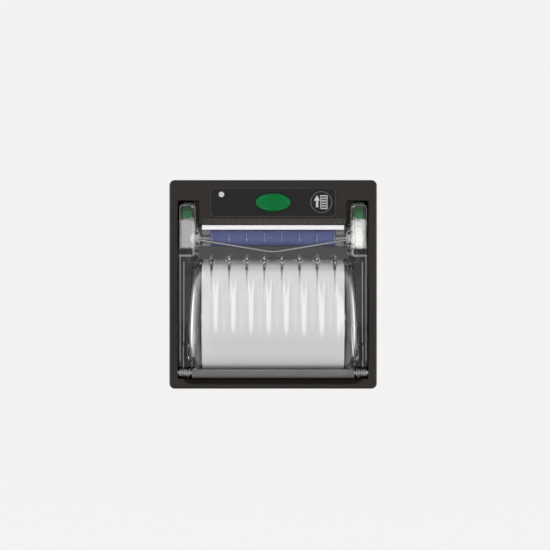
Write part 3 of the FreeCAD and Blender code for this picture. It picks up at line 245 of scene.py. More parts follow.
def liftSurface(tree, shader, grain, strength, distance):
    bump = addNode(tree, "ShaderNodeBump", Strength=strength, Distance=distance)
    tree.links.new(grain.outputs["Height"], bump.inputs["Height"])
    tree.links.new(bump.outputs[0], shader.inputs["Normal"])


grainDepth = 0.00003


def finish(name, look, **fixed):
    # colour wanders a little with the patches and roughness with the grain, which also lifts
    # the surface; the last result is the colour, for materials that draw on it
    mat, tree, shader = newMaterial(name, **fixed)
    grain = addNode(tree, "ShaderNodeGroup", node_tree=grainGroup)
    grain.inputs["Grain"].default_value = look["grain"]
    grain.inputs["Patches"].default_value = look["patches"]
    grain.inputs["Stretch"].default_value = look.get("stretch", (1, 1, 1))
    tint = mixColours(tree, grain.outputs["Patch"], *look["colours"])
    tree.links.new(tint, shader.inputs["Base Color"])
    rough = addNode(tree, "ShaderNodeMapRange")
    rough.inputs["To Min"].default_value, rough.inputs["To Max"].default_value = look["roughness"]
    tree.links.new(grain.outputs["Height"], rough.inputs["Value"])
    tree.links.new(rough.outputs[0], shader.inputs["Roughness"])
    liftSurface(tree, shader, grain, look["lift"], grainDepth)
    return mat, tree, shader, tint


# colours are scene-linear; grain and patches are noise scales, lift the strength of the grain
looks = {
    "bezel_plastic": {
        "colours": ((0.0165, 0.0125, 0.0105), (0.0225, 0.0175, 0.015)), "roughness": (0.36, 0.5),
        "grain": 4500, "patches": 40, "lift": 0.5, "specular": 0.2},
    "circuit_board": {
        "colours": ((0.006, 0.075, 0.028), (0.010, 0.105, 0.040)), "roughness": (0.22, 0.4),
        "grain": 1500, "patches": 300, "lift": 0.15},
    "tear_steel": {
        "colours": ((0.035, 0.031, 0.028), (0.050, 0.045, 0.040)), "roughness": (0.3, 0.5),
        "grain": 6000, "patches": 200, "lift": 0.3, "metal": 0.5},
    "steel": {
        "colours": ((0.50, 0.50, 0.49), (0.62, 0.62, 0.60)), "roughness": (0.22, 0.4),
        "grain": 3000, "patches": 400, "lift": 0.15, "metal": 1},
    "spring_steel": {
        "colours": ((0.25, 0.25, 0.24), (0.33, 0.33, 0.32)), "roughness": (0.2, 0.36),
        "grain": 5000, "patches": 800, "lift": 0.1, "metal": 1},
    "motor_steel": {
        "colours": ((0.46, 0.46, 0.45), (0.56, 0.56, 0.54)), "roughness": (0.25, 0.42),
        "grain": 2500, "patches": 150, "stretch": (0.1, 1, 1), "lift": 0.2, "metal": 1},
    "frame_steel": {
        "colours": ((0.44, 0.44, 0.43), (0.54, 0.54, 0.52)), "roughness": (0.28, 0.46),
        "grain": 2500, "patches": 120, "stretch": (1, 1, 0.08), "lift": 0.25, "metal": 1},
    "black_plastic": {
        "colours": ((0.010, 0.010, 0.010), (0.016, 0.016, 0.016)), "roughness": (0.35, 0.5),
        "grain": 3500, "patches": 80, "lift": 0.25},
    "housing_plastic": {
        "colours": ((0.014, 0.013, 0.012), (0.020, 0.018, 0.017)), "roughness": (0.42, 0.6),
        "grain": 3200, "patches": 50, "lift": 0.5},
    "bucket_plastic": {
        "colours": ((0.072, 0.071, 0.069), (0.095, 0.093, 0.090)), "roughness": (0.35, 0.52),
        "grain": 3200, "patches": 70, "lift": 0.35},
    "chip_black": {
        "colours": ((0.008, 0.008, 0.009), (0.013, 0.013, 0.014)), "roughness": (0.4, 0.55),
        "grain": 6000, "patches": 500, "lift": 0.3},
    "connector_black": {
        "colours": ((0.009, 0.009, 0.009), (0.014, 0.014, 0.014)), "roughness": (0.22, 0.36),
        "grain": 3000, "patches": 300, "lift": 0.15},
    "connector_green": {
        "colours": ((0.010, 0.13, 0.035), (0.014, 0.17, 0.045)), "roughness": (0.22, 0.36),
        "grain": 3000, "patches": 300, "lift": 0.15},
    "guide_plastic": {
        "colours": ((0.030, 0.031, 0.033), (0.042, 0.043, 0.045)), "roughness": (0.38, 0.55),
        "grain": 2500, "patches": 60, "lift": 0.2},
    "bush_plastic": {
        "colours": ((0.56, 0.56, 0.53), (0.64, 0.64, 0.61)), "roughness": (0.3, 0.42),
        "grain": 3000, "patches": 300, "lift": 0.15},
    "platen_rubber": {
        "colours": ((0.085, 0.105, 0.300), (0.115, 0.140, 0.380)), "roughness": (0.55, 0.75),
        "grain": 5000, "patches": 220, "stretch": (0.35, 1, 1), "lift": 0.4},
    "gear_plastic": {
        "colours": ((0.62, 0.61, 0.55), (0.70, 0.69, 0.63)), "roughness": (0.3, 0.45),
        "grain": 3000, "patches": 200, "lift": 0.15},
    "brass": {
        "colours": ((0.58, 0.40, 0.13), (0.68, 0.48, 0.17)), "roughness": (0.2, 0.35),
        "grain": 4000, "patches": 300, "lift": 0.15, "metal": 1},
    "button_green": {
        "colours": ((0.0005, 0.115, 0.026), (0.001, 0.150, 0.036)), "roughness": (0.06, 0.12),
        "grain": 900, "patches": 120, "lift": 0.05, "specular": 0.2},
    "head_ceramic": {
        "colours": ((0.55, 0.52, 0.42), (0.64, 0.60, 0.50)), "roughness": (0.15, 0.3),
        "grain": 4000, "patches": 300, "lift": 0.1},
    "aluminium": {
        "colours": ((0.60, 0.60, 0.61), (0.70, 0.70, 0.71)), "roughness": (0.28, 0.42),
        "grain": 2500, "patches": 150, "stretch": (0.05, 1, 1), "lift": 0.25, "metal": 1},
    "core_board": {
        "colours": ((0.30, 0.22, 0.13), (0.36, 0.27, 0.17)), "roughness": (0.75, 0.9),
        "grain": 1800, "patches": 500, "stretch": (0.4, 1, 1), "lift": 0.6},
}
materials = {}
for slotName, look in looks.items():
    materials[slotName] = finish(slotName, look, Metallic=float(look.get("metal", 0)),
                                 Specular_IOR_Level=look.get("specular", 0.5))[0]

# colours without a slot of their own: parts of the clear mouldings, light greys that paint
# highlights on beads and rings, and raised prints
clearIndex = 1.58
extras = {
    "satin_clear": {
        "colours": ((0.19, 0.19, 0.187), (0.24, 0.24, 0.236)), "roughness": (0.25, 0.4),
        "grain": 2500, "patches": 60, "lift": 0.2, "seeThrough": 0.45},
    "bead_painted_highlight": {
        "colours": ((0.36, 0.36, 0.36), (0.44, 0.44, 0.44)), "roughness": (0.25, 0.4),
        "grain": 2500, "patches": 60, "lift": 0.2, "seeThrough": 0.2},
    # grey rings that paint the highlights on the key's raised ring and round the pads' edges
    "ring_painted_highlight": {
        "colours": ((0.075, 0.075, 0.078), (0.10, 0.10, 0.104)), "roughness": (0.3, 0.45),
        "grain": 5000, "patches": 400, "lift": 0.2},
    "print_grey": {
        "colours": ((0.46, 0.46, 0.46), (0.54, 0.54, 0.54)), "roughness": (0.45, 0.6),
        "grain": 5000, "patches": 400, "lift": 0.2},
}
for extraName, look in extras.items():
    fixed = {}
    if "seeThrough" in look:
        fixed = {"Transmission_Weight": look["seeThrough"], "IOR": clearIndex}
    materials[extraName] = finish(extraName, look, **fixed)[0]

paper = {
    "colours": ((0.81, 0.81, 0.817), (0.85, 0.85, 0.857)), "roughness": (0.5, 0.65),
    "grain": 1500, "patches": 80, "lift": 0.12, "sheen": 0.05, "specular": 0.35,
    "axis": (0, rollAxis["y"] * mm, rollAxis["z"] * mm),
    # edge is the grey of the painted shade in the rings on the roll's ends
    "layers": 4000, "layerDetail": 3.0, "contrast": 1.5, "edge": (0.52, 0.53, 0.55),
    "endsFrom": 0.7}


def makePaper(name, look):
    # thermal paper: soft fibres, and across the roll's ends, where the normal runs along x, fine
    # rings of painted shade where the gaps between its layers would be
    mat, tree, shader, tint = finish(name, look, Sheen_Weight=look["sheen"],
                                     Specular_IOR_Level=look["specular"])
    fromAxis = vectorNode(tree, "SUBTRACT", objectPlace(tree), look["axis"])
    flat = vectorNode(tree, "MULTIPLY", fromAxis, (0.0, 1.0, 1.0))
    radius = vectorNode(tree, "LENGTH", flat, out=1)
    ring = addNode(tree, "ShaderNodeTexNoise", noise_dimensions="1D", Scale=look["layers"],
                   Detail=look["layerDetail"])
    tree.links.new(radius, ring.inputs["W"])
    apart = tree.nodes.new("ShaderNodeSeparateXYZ")
    tree.links.new(tree.nodes.new("ShaderNodeNewGeometry").outputs["Normal"], apart.inputs[0])
    onEnd = mathNode(tree, "GREATER_THAN", mathNode(tree, "ABSOLUTE", apart.outputs[0]),
                     look["endsFrom"])
    rings = mathNode(tree, "POWER", ring.outputs["Fac"], look["contrast"])
    shade = mixColours(tree, mathNode(tree, "MULTIPLY", onEnd, rings), tint, look["edge"])
    tree.links.new(shade, shader.inputs["Base Color"])
    return mat


materials["paper"] = makePaper("paper", paper)

# centre, inner (half sizes of the rounded rectangle less its corners), round and line in metres
label = {
    "colours": ((0.0095, 0.0085, 0.0092), (0.0125, 0.0115, 0.0122)), "roughness": (0.4, 0.52),
    "grain": 7000, "patches": 60, "lift": 0.3, "specular": 0.18,
    "centre": (0, 0, 0.03325), "inner": (0.0237, 1, 0.00415), "round": 0.0016, "line": 0.00012,
    "lineColour": (0.05, 0.05, 0.055)}


def makeLabel(name, look):
    # velvet film with a fine line round it: the line is where the distance to a rounded
    # rectangle, found from the far corner of the folded coordinates, is next to nothing
    mat, tree, shader, tint = finish(name, look, Specular_IOR_Level=look["specular"])
    fromCentre = vectorNode(tree, "SUBTRACT", objectPlace(tree), look["centre"])
    folded = vectorNode(tree, "ABSOLUTE", fromCentre)
    fromInner = vectorNode(tree, "SUBTRACT", folded, look["inner"])
    corner = vectorNode(tree, "MULTIPLY", fromInner, (1.0, 0.0, 1.0))
    reach = vectorNode(tree, "LENGTH", vectorNode(tree, "MAXIMUM", corner, (0.0, 0.0, 0.0)), out=1)
    off = mathNode(tree, "ABSOLUTE", mathNode(tree, "SUBTRACT", reach, look["round"]))
    line = mathNode(tree, "LESS_THAN", off, look["line"])
    tree.links.new(mixColours(tree, line, tint, look["lineColour"]), shader.inputs["Base Color"])
    return mat


materials["label_film"] = makeLabel("label_film", label)

cover = {"colour": (0.994, 0.996, 0.995), "roughness": 0.02, "ripple": 60.0, "lift": 0.06,
         "depth": 0.0001, "through": (1.0, 0.85)}


def makeClear(name, look):
    # clear plastic: lamps shine through it, less where it stands aslant to them, and the polish
    # has faint ripples
    mat, tree, shader = newMaterial(name, Transmission_Weight=1.0, IOR=clearIndex,
                                    Roughness=look["roughness"])
    shader.inputs["Base Color"].default_value = (*look["colour"], 1)
    grain = addNode(tree, "ShaderNodeGroup", node_tree=grainGroup)
    grain.inputs["Grain"].default_value = look["ripple"]
    liftSurface(tree, shader, grain, look["lift"], look["depth"])
    clear = tree.nodes.new("ShaderNodeBsdfTransparent")
    slant = addNode(tree, "ShaderNodeLayerWeight", Blend=0.5)
    shade = tree.nodes.new("ShaderNodeMapRange")
    shade.inputs["To Min"].default_value, shade.inputs["To Max"].default_value = look["through"]
    tree.links.new(slant.outputs["Facing"], shade.inputs["Value"])
    tree.links.new(shade.outputs[0], clear.inputs["Color"])
    mix = tree.nodes.new("ShaderNodeMixShader")
    path = tree.nodes.new("ShaderNodeLightPath")
    feed(tree, mix, path.outputs["Is Shadow Ray"], shader.outputs[0], clear.outputs[0])
    tree.links.new(mix.outputs[0], tree.nodes["Material Output"].inputs["Surface"])
    return mat


materials["clear_cover"] = makeClear("clear_cover", cover)

# every CAD node wears the finish of its material slot
slots = {p["node"]: p["material_slot"] for p in frame["record"]["subparts"]}
for nodeName, node in frame["nodes"].items():
    for k in range(max(1, len(node.material_slots))):
        if not node.material_slots:
            node.data.materials.append(materials[slots[nodeName]])
        node.material_slots[k].material = materials[slots[nodeName]]
print("materials made:", len(materials))

# the dome is an arc over the roll; its ends draw in towards the top and have round shoulders;
# rows gives the grid's rows from low to breaks to high, in mm as every size of a shape is
dome = {
    **rollAxis, "radius": 24.7, "wall": 1.5, "shoulder": 6.0, "lowHalf": 34.9,
    "highHalf": 32.9, "reach": 22.31, "front": -4.6, "rear": -2.8, "edge": 35.3, "low": -33.2,
    "high": 12.9, "breaks": (0, 8), "rows": (62, 24, 30), "shoulderPoints": 15, "wallPoints": 6,
    "platePoints": 4, "margin": 0.2, "cutFront": -30.0, "cutRear": 10.0, "behind": 0.05,
    "domeCrease": 35, "plateCrease": 10}
# the paired lists are heights and what holds there: how much of proud, how far the inner sheet
# draws back, and how much of the wave; near and far place the columns beside each crest
ribs = {
    "count": 8, "pitch": 7.1, "tip": 12.2, "proud": 0.3, "steep": 2.1, "round": 0.12,
    "soften": 0.2, "flank": 2, "near": 1.75, "nearColumns": 19, "far": (2.2, 2.65, 3.1),
    "proudAt": ((-9, 1, 5, 10), (-0.3, 1, 1, 0)), "backAt": ((-9, -7), (4, 0)), "thickest": 2.05,
    "leastLean": 0.05, "wave": 0.24, "sink": 0.1, "waveAt": ((-27, -15, 0, 8), (0, 1, 1, 0)),
    "waveEnd": 32, "waveFade": 4}
pads = {"x": 32.4, "z": 11.2, "radius": 2.8, "front": -4.85, "sunk": 0.1, "steps": 64}
bar = {
    **hingeAxis, "half": 32.9, "radius": 2.2, "bore": 1.05, "bed": 3.2, "edge": 0.15,
    "room": 0.05, "groove": 0.03, "steps": 72, "grooveSteps": 96}
crests = (np.arange(ribs["count"]) - (ribs["count"] - 1) / 2) * ribs["pitch"]


def softMin(a, b, k):
    # the lower of two surfaces, rounded where they cross
    h = np.clip(0.5 + 0.5 * (b - a) / k, 0, 1)
    return b * (1 - h) + a * h - k * h * (1 - h)


def ribFront(d, z, off):
    # a rib's crest runs straight down from its tip on the plate until it meets the dome's arc,
    # then follows the arc a little proud of it and sinks in; its flanks fall away evenly
    dy, dz = d["y"] - d["front"], ribs["tip"] - d["z"]
    meet = math.atan2(dz, dy) - math.acos(d["radius"] / math.hypot(dy, dz))
    meetZ, meetY = d["z"] + d["radius"] * math.sin(meet), d["y"] - d["radius"] * math.cos(meet)
    line = d["front"] - (ribs["tip"] - z) * (d["front"] - meetY) / (ribs["tip"] - meetZ)
    arc = d["y"] - np.sqrt(np.maximum(d["radius"] ** 2 - (z - d["z"]) ** 2, 0))
    crest = np.where(z > meetZ, line, arc) - ribs["proud"] * np.interp(z, *ribs["proudAt"])
    return crest + ribs["steep"] * (np.hypot(off, ribs["round"]) - ribs["round"])


def ribRear(d, z, off):
    # the same surface, one wall further back, so that the ribs are hollow behind; the wall is
    # deeper along y where the dome leans, up to thickest
    lean = np.sqrt(np.maximum(1 - ((z - d["z"]) / d["radius"]) ** 2, ribs["leastLean"]))
    back = np.minimum(d["wall"] / lean, ribs["thickest"])
    return ribFront(d, z, off) + back + np.interp(z, *ribs["backAt"])


def domeSheet(d, inset, plateY):
    # rows climb the dome; across it run the plate, the side wall, the shoulder's quarter circle
    # and the front, each from where it starts at that height; a column's depth is the radius of
    # its circle about the dome's axis
    stops = [d["low"], *d["breaks"], d["high"]]
    rows = [np.linspace(a, b, n) for a, b, n in zip(stops, stops[1:], d["rows"])]
    z = np.unique(np.concatenate(rows + [[d["z"] + d["reach"]]]))[:, None]
    dz = z - d["z"]
    radius, bend = d["radius"] - inset, d["shoulder"] - inset
    share = (dz + d["reach"]) / (2 * d["reach"])
    half = d["lowHalf"] + share * (d["highHalf"] - d["lowHalf"]) - inset
    foot = np.hypot(dz, d["y"] - plateY)
    first = np.arcsin(np.clip((foot - radius + bend) / bend, 0, 1))
    a = first + (np.pi / 2 - first) * np.linspace(0, 1, d["shoulderPoints"])[None]
    sides, depths = [half - bend + bend * np.cos(a)], [radius - bend + bend * np.sin(a)]
    wallFoot = np.minimum(foot, radius - bend)
    v = np.linspace(0, 1, d["wallPoints"], endpoint=False)[None]
    sides.insert(0, np.repeat(sides[0][:, :1], d["wallPoints"], 1))
    depths.insert(0, np.where(first > 0, foot, wallFoot + (radius - bend - wallFoot) * v))
    v = np.linspace(0, 1, d["platePoints"], endpoint=False)[None]
    sides.insert(0, d["edge"] + (sides[0][:, :1] - d["edge"]) * v)
    depths.insert(0, np.repeat(foot, d["platePoints"], 1))
    side, depth = np.concatenate(sides, 1), np.concatenate(depths, 1)
    far = np.array(ribs["far"])
    near = np.linspace(-ribs["near"], ribs["near"], ribs["nearColumns"])
    offsets = np.concatenate([near, -far, far])
    inner = np.unique(np.round((crests[:, None] + offsets).ravel(), 4))
    inner = inner[np.abs(inner) < d["highHalf"] - d["shoulder"] - d["margin"]]
    inner = np.repeat(inner[None], len(z), 0)
    x = np.concatenate([-side, inner, side[:, ::-1]], 1)
    r = np.concatenate([depth, np.full_like(inner, radius), depth[:, ::-1]], 1)
    y = np.minimum(d["y"] - np.sqrt(np.maximum(r ** 2 - dz ** 2, 0)), plateY)
    outer = ribs["pitch"] * ribs["count"] / 2
    off = np.abs((x + outer) % ribs["pitch"] - ribs["pitch"] / 2)
    rib = ribRear(d, z, off) if inset else ribFront(d, z, off)
    onRib = (off < ribs["flank"]) & (np.abs(x) < outer)
    y = np.where(onRib, softMin(y, rib, ribs["soften"]), y)
    # the dome rolls in a shallow wave from rib to rib, which dies away above, below and at the ends
    fade = np.interp(z, *ribs["waveAt"])
    fade = fade * np.clip((ribs["waveEnd"] - np.abs(x)) / ribs["waveFade"], 0, 1)
    wave = 0.5 - 0.5 * np.cos(2 * np.pi * x / ribs["pitch"])
    y = np.minimum(y + fade * (ribs["sink"] - ribs["wave"] * wave), plateY)
    return np.stack([x, y, np.broadcast_to(z, x.shape)], -1)


def helper(name, parts):
    # a solid in mm that is used up when it is combined
    obj = addPiece(name, parts, materials["clear_cover"], "lid")
    obj.data.transform(Matrix.Scale(1 / mm, 4))
    return obj


def combine(base, other, operation):
    mod = base.modifiers.new(operation, "BOOLEAN")
    mod.operation, mod.solver, mod.object = operation, "MANIFOLD", other
    made = base.evaluated_get(bpy.context.evaluated_depsgraph_get())
    base.data = bpy.data.meshes.new_from_object(made)
    base.modifiers.clear()
    bpy.data.objects.remove(other)


def makeBar(b):
    # the hinge barrel, turned from its outline, with a blind bore for a pin in each end
    one = np.array([(b["half"] - b["bed"], 0), (b["half"] - b["bed"], b["bore"]),
                    (b["half"], b["bore"]), (b["half"], b["radius"] - b["edge"]),
                    (b["half"] - b["edge"], b["radius"])])
    profile = np.concatenate([one, one[::-1] * (-1, 1)])
    addPiece("hingeBar", [turned(profile, b["y"], b["z"], b["steps"])], materials["satin_clear"],
             "lid")


def keepCreases(mesh, d):
    # an edge is sharp where its faces turn by more than the dome's crease, or outside it by more
    # than the plate's smaller one, so that the plate, the lip and the arms stay flat
    bm = bmesh.new()
    bm.from_mesh(mesh)
    low = np.array([-d["edge"], d["cutFront"], d["low"]]) * mm
    high = np.array([d["edge"], d["rear"] + d["behind"], d["high"]]) * mm
    for e in bm.edges:
        middle = (e.verts[0].co + e.verts[1].co) / 2
        inside = all(low[k] < middle[k] < high[k] for k in range(3))
        crease = d["domeCrease"] if inside else d["plateCrease"]
        e.smooth = e.calc_face_angle(0) < math.radians(crease)
    bm.to_mesh(mesh)
    bm.free()


def makeLid(d):
    # the arms, ears, lip and the plate's border come from the frame; the dome and its plate are
    # cut out of it and a finer pair of sheets takes their place, with a groove for the barrel;
    # weld is in mm here
    weld = 2e-3
    mesh = frame["nodes"]["lid_cover"].data.copy()
    mesh.transform(Matrix.Scale(1 / mm, 4))
    bm = bmesh.new()
    bm.from_mesh(mesh)
    bmesh.ops.remove_doubles(bm, verts=bm.verts, dist=weld)
    bm.to_mesh(mesh)
    bm.free()
    obj = bpy.data.objects.new("clearLid", mesh)
    bpy.context.scene.collection.objects.link(obj)
    corners = np.meshgrid([-d["edge"], d["edge"]], [d["cutFront"], d["cutRear"]],
                          [d["low"], d["high"]], indexing="ij")
    grid = np.stack(corners, -1)
    combine(obj, helper("cutter", slab(grid[:, 0], grid[:, 1])), "DIFFERENCE")
    reach, deep = bar["half"] + bar["room"], bar["radius"] + bar["groove"]
    profile = [(reach, 0), (reach, deep), (-reach, deep), (-reach, 0)]
    groove = turned(profile, bar["y"], bar["z"], bar["grooveSteps"])
    combine(obj, helper("groove", [groove]), "DIFFERENCE")
    shell = slab(domeSheet(d, 0, d["front"]), domeSheet(d, d["wall"], d["rear"]))
    combine(obj, helper("domeShell", shell), "UNION")
    padRear, padRadius = d["rear"] - pads["sunk"], pads["radius"]
    rings = [(0, 0, pads["front"]), (padRadius, padRadius, pads["front"]),
             (padRadius, padRadius, padRear), (0, 0, padRear)]
    for sign in (-1, 1):
        pad = ovalRings(rings, sign * pads["x"], pads["z"], pads["steps"])
        combine(obj, helper("pad", [pad]), "UNION")
    obj.data.transform(Matrix.Scale(mm, 4))
    obj.data.shade_smooth()
    keepCreases(obj.data, d)
    obj.modifiers.new("flatFaces", "WEIGHTED_NORMAL").keep_sharp = True
    for k in range(len(obj.data.materials)):
        obj.data.materials[k] = materials["clear_cover"]
    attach(obj, "lid")
    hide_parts("lid_cover")
    print("lid made:", len(obj.data.polygons), "faces")


ridge = {"half": 30.45, "end": 18.3, "apex": 13.2, "radius": 0.24, "y": -4.66, "bend": 1.5,
         "points": 81, "steps": 18}


def makeRidge(v):
    # a half-buried bead on the plate, in a V whose two runs bend a little where they meet; its
    # light grey is a painted highlight along it
    x = np.linspace(-v["half"], v["half"], v["points"])
    climb = (v["end"] - v["apex"]) * (np.hypot(x, v["bend"]) - v["bend"]) / v["half"]
    path = np.stack([x, np.full_like(x, v["y"]), v["apex"] + climb], -1)
    addPiece("foldRidge", [wire(path, v["radius"], (0, 1, 0), v["steps"])],
             materials["bead_painted_highlight"], "lid")


# rails are (x, low, high, radius) and ticks (low, high, radius)
beads = {"y": -4.6, "rails": [(36.1, -23.5, 9.0, 0.16), (37.6, -31.0, 12.0, 0.13)],
         "ticks": (17.4, 20.6, 0.13), "points": 8, "steps": 12}
padRing = {"ring": 2.35, "wide": 0.13, "deep": 0.13, "y": pads["front"], "sectionSteps": 12}


def makeBeads(b):
    # straight half-buried beads whose light grey paints highlight lines: two down each side of the
    # plate, and a short one above each rib
    runs = [(sign * x, low, high, r) for x, low, high, r in b["rails"] for sign in (-1, 1)]
    runs += [(x, *b["ticks"]) for x in crests]
    parts = []
    for x, low, high, r in runs:
        path = np.linspace([x, b["y"], low], [x, b["y"], high], b["points"])
        parts.append(wire(path, r, (0, 1, 0), b["steps"]))
    addPiece("plateBeads", parts, materials["bead_painted_highlight"], "lid")


makeLid(dome)
makeBar(bar)
makeRidge(ridge)
makeBeads(beads)
# the pads' grey rings are painted highlight round their edges
parts = [roundRing(padRing, sign * pads["x"], pads["z"], pads["steps"]) for sign in (-1, 1)]
addPiece("padRings", parts, materials["ring_painted_highlight"], "lid")

# ripples are (height, waves per mm, phase) of the layers' edges, which don't end quite level
roll = {**rollAxis, "half": 28.75, "radius": 22.0, "bore": 8.02, "edge": 0.15, "sunk": 0.1,
        "points": 56, "steps": 160, "ripples": ((0.05, 2.9, 0), (0.04, 7.3, 1))}


def makeRoll(v):
    # a tube whose two ends ripple a little from layer to layer
    r = np.linspace(v["bore"], v["radius"] - v["edge"], v["points"])
    ripple = sum(high * np.sin(r * waves + phase) for high, waves, phase in v["ripples"])
    ripple[0] = 0
    right = np.stack([v["half"] - v["sunk"] + ripple, r], -1)
    left = np.stack([-v["half"] + v["sunk"] + ripple[::-1], r[::-1]], -1)
    rim = [(sign * (v["half"] - v["edge"]), v["radius"]) for sign in (1, -1)]
    profile = np.concatenate([right, rim, left])
    addPiece("paperRoll", [turned(profile, v["y"], v["z"], v["steps"])], materials["paper"], "roll",
             ["paper_roll"], sharp=50)


core = {**rollAxis, "half": roll["half"], "radius": 8.0, "bore": 6.0, "edge": 0.25, "steps": 72}


def makeCore(v):
    # a plain tube with its four rims bevelled
    h, e = v["half"], v["edge"]
    one = np.array([(h - e, v["radius"]), (h, v["radius"] - e), (h, v["bore"] + e),
                    (h - e, v["bore"])])
    profile = np.concatenate([one, one[::-1] * (-1, 1)])
    addPiece("rollCore", [turned(profile, v["y"], v["z"], v["steps"])],
             materials["core_board"], "roll", ["roll_core"])


# exit and curlTurn in degrees; cut is the depth of the zigzag across the torn end
web = {"thick": 0.12, "half": roll["half"], "columns": 129, "platenY": 2.0, "platenZ": 18.75,
       "platen": 3.5, "gap": 0.06, "bendY": 7.62, "bendZ": 12.6, "bend": 2.0, "exit": 93.0,
       "curlY": -3.4, "curl": 0.55, "curlTurn": 92.0, "end": 1.4, "cut": 0.2, "wrapPoints": 20,
       "bendPoints": 8, "curlPoints": 9}


def arc(y, z, radius, angles):
    return np.stack([y + radius * np.cos(angles), z + radius * np.sin(angles)], -1)


def makeWeb(w):
    # the paper's middle line from its tangent on the roll, round the guide bar and over the
    # platen, then straight to its curl and its end; a sheet of its thickness goes round it
    half = w["thick"] / 2
    wrap = w["platen"] + w["gap"] + half
    dy, dz = w["bendY"] - roll["y"], w["bendZ"] - roll["z"]
    reach = roll["radius"] + w["gap"] + half
    lean = math.atan2(dz, dy) - math.acos((reach + w["bend"]) / math.hypot(dy, dz))
    turn = math.pi + np.linspace(lean, 0, w["bendPoints"])
    top = np.radians(np.linspace(0, w["exit"], w["wrapPoints"]))
    line = np.concatenate([arc(roll["y"], roll["z"], reach, np.array([lean])),
                           arc(w["bendY"], w["bendZ"], w["bend"], turn),
                           arc(w["platenY"], w["platenZ"], wrap, top)])
    out = np.array([-math.sin(top[-1]), math.cos(top[-1])])
    run = out * ((line[-1, 0] - w["curlY"]) / -out[0])
    line = np.concatenate([line, line[-1] + run * np.linspace(0.3, 1, 3)[:, None]])
    last = np.linspace(top[-1], math.radians(90 - w["curlTurn"]), w["curlPoints"])[1:]
    middle = line[-1] + w["curl"] * np.array([math.cos(top[-1]), math.sin(top[-1])])
    line = np.concatenate([line, arc(*middle, -w["curl"], last)])
    out = np.array([-math.sin(last[-1]), math.cos(last[-1])])
    line = np.concatenate([line, line[-1] + out * w["end"] * np.array([[0.5], [1.0]])])
    t = np.gradient(line, axis=0)
    t /= np.linalg.norm(t, axis=1, keepdims=True)
    off = np.stack([-t[:, 1], t[:, 0]], -1) * half
    cut = w["cut"] * (np.arange(w["columns"]) % 2)
    grids = []
    for side in (1, -1):
        face = line + side * off
        grid = np.empty((len(face), w["columns"], 3))
        grid[..., 0] = np.linspace(-w["half"], w["half"], w["columns"])
        grid[..., 1:] = face[:, None]
        grid[-1, :, 1:] -= cut[:, None] * out
        grids.append(grid)
    addPiece("paperWeb", slab(*grids), materials["paper"], "root", ["paper_web"],
             sharp=50)


makeRoll(roll)
makeCore(core)
makeWeb(web)
print("paper made")

button = {"x": 0, "z": 33.2, "rings": [
    (0, 0, -6.18), (3.0, 1.0, -6.18), (5.2, 2.1, -6.2), (6.0, 2.6, -6.26), (6.3, 2.85, -6.38),
    (6.55, 3.05, -6.48), (6.75, 3.22, -6.5), (6.95, 3.4, -6.42), (7.07, 3.52, -6.25),
    (7.1, 3.55, -6.0), (7.1, 3.55, -2.9), (8.1, 4.55, -2.9), (8.1, 4.55, -2.1), (2.0, 2.0, -2.1),
    (2.0, 2.0, 0.8), (1.8, 1.8, 1.0), (0, 0, 1.0)]}
addPiece("releaseButton", [ovalRings(button["rings"], button["x"], button["z"])],
         materials["button_green"], "button", ["release_button"], sharp=40)

# a round key is turned from rings of (radius, y)
key = {"x": 19.5, "z": 33.3, "rings": [
    (0, -5.42), (2.0, -5.42), (3.5, -5.43), (3.78, -5.47), (3.95, -5.58), (4.1, -5.64),
    (4.25, -5.65), (4.38, -5.6), (4.47, -5.5), (4.5, -5.35), (4.5, -2.9), (5.3, -2.9),
    (5.3, -2.4), (0, -2.4)]}
keyRing = {"ring": 4.25, "wide": 0.17, "deep": 0.11, "y": -5.6, "sectionSteps": 16}
rings = [(radius, radius, y) for radius, y in key["rings"]]
addPiece("feedKey", [ovalRings(rings, key["x"], key["z"])], materials["label_film"], "key",
         ["feed_key"], sharp=40)

# the key's symbol, from the key's middle: a sheet with a straight top line and waved ones under
# it between two sides, and an arrow up beside it, all as thin raised prints
icon = {
    "left": -0.45, "right": 2.55, "top": 2.55, "bottom": -2.55, "bars": 5, "wide": 0.42,
    "wave": 0.14, "turns": 3.0, "points": 40, "side": 0.36, "sideHalf": 2.5,
    "y": -5.455, "thick": 0.04,
    "shaft": [(-2.15, -2.1), (-1.25, -2.1), (-1.25, 0.7), (-2.15, 0.7)],
    "point": [(-3.0, 0.6), (-0.6, 0.6), (-1.65, 2.7), (-1.75, 2.7)]}


def raised(x, z, v):
    # a closed print between the icon's two depths, over a grid of x and z
    depths = v["y"], v["y"] + v["thick"]
    return slab(*(np.stack(np.broadcast_arrays(x, depth, z), -1) for depth in depths))


def waveBar(level, wave, v):
    # a strip whose middle line is a sine wave
    u = np.linspace(0, 1, v["points"])[:, None]
    middle = key["z"] + level + wave * np.sin(2 * np.pi * v["turns"] * u)
    left, right = key["x"] + v["left"], key["x"] + v["right"]
    return raised(left + (right - left) * u, middle + np.array([-1, 1]) * v["wide"] / 2, v)


def plate(corners, v):
    # a flat four-cornered print
    x, z = np.asarray(corners, float).T + [[key["x"]], [key["z"]]]
    order = np.array([[0, 1], [3, 2]])
    return raised(x[order], z[order], v)


def makeIcon(v):
    parts = []
    for k, level in enumerate(np.linspace(v["top"], v["bottom"], v["bars"] + 1)):
        parts += waveBar(level, v["wave"] * (k > 0), v)
    half = v["sideHalf"]
    for a, b in ((v["left"], v["left"] + v["side"]), (v["right"] - v["side"], v["right"])):
        parts += plate([(a, -half), (b, -half), (b, half), (a, half)], v)
    parts += plate(v["shaft"], v) + plate(v["point"], v)
    addPiece("feedMark", parts, materials["print_grey"], "key")


makeIcon(icon)
# the key's grey ring over its raised ring is a painted highlight
addPiece("keyRing", [roundRing(keyRing, key["x"], key["z"])], materials["ring_painted_highlight"], "key")

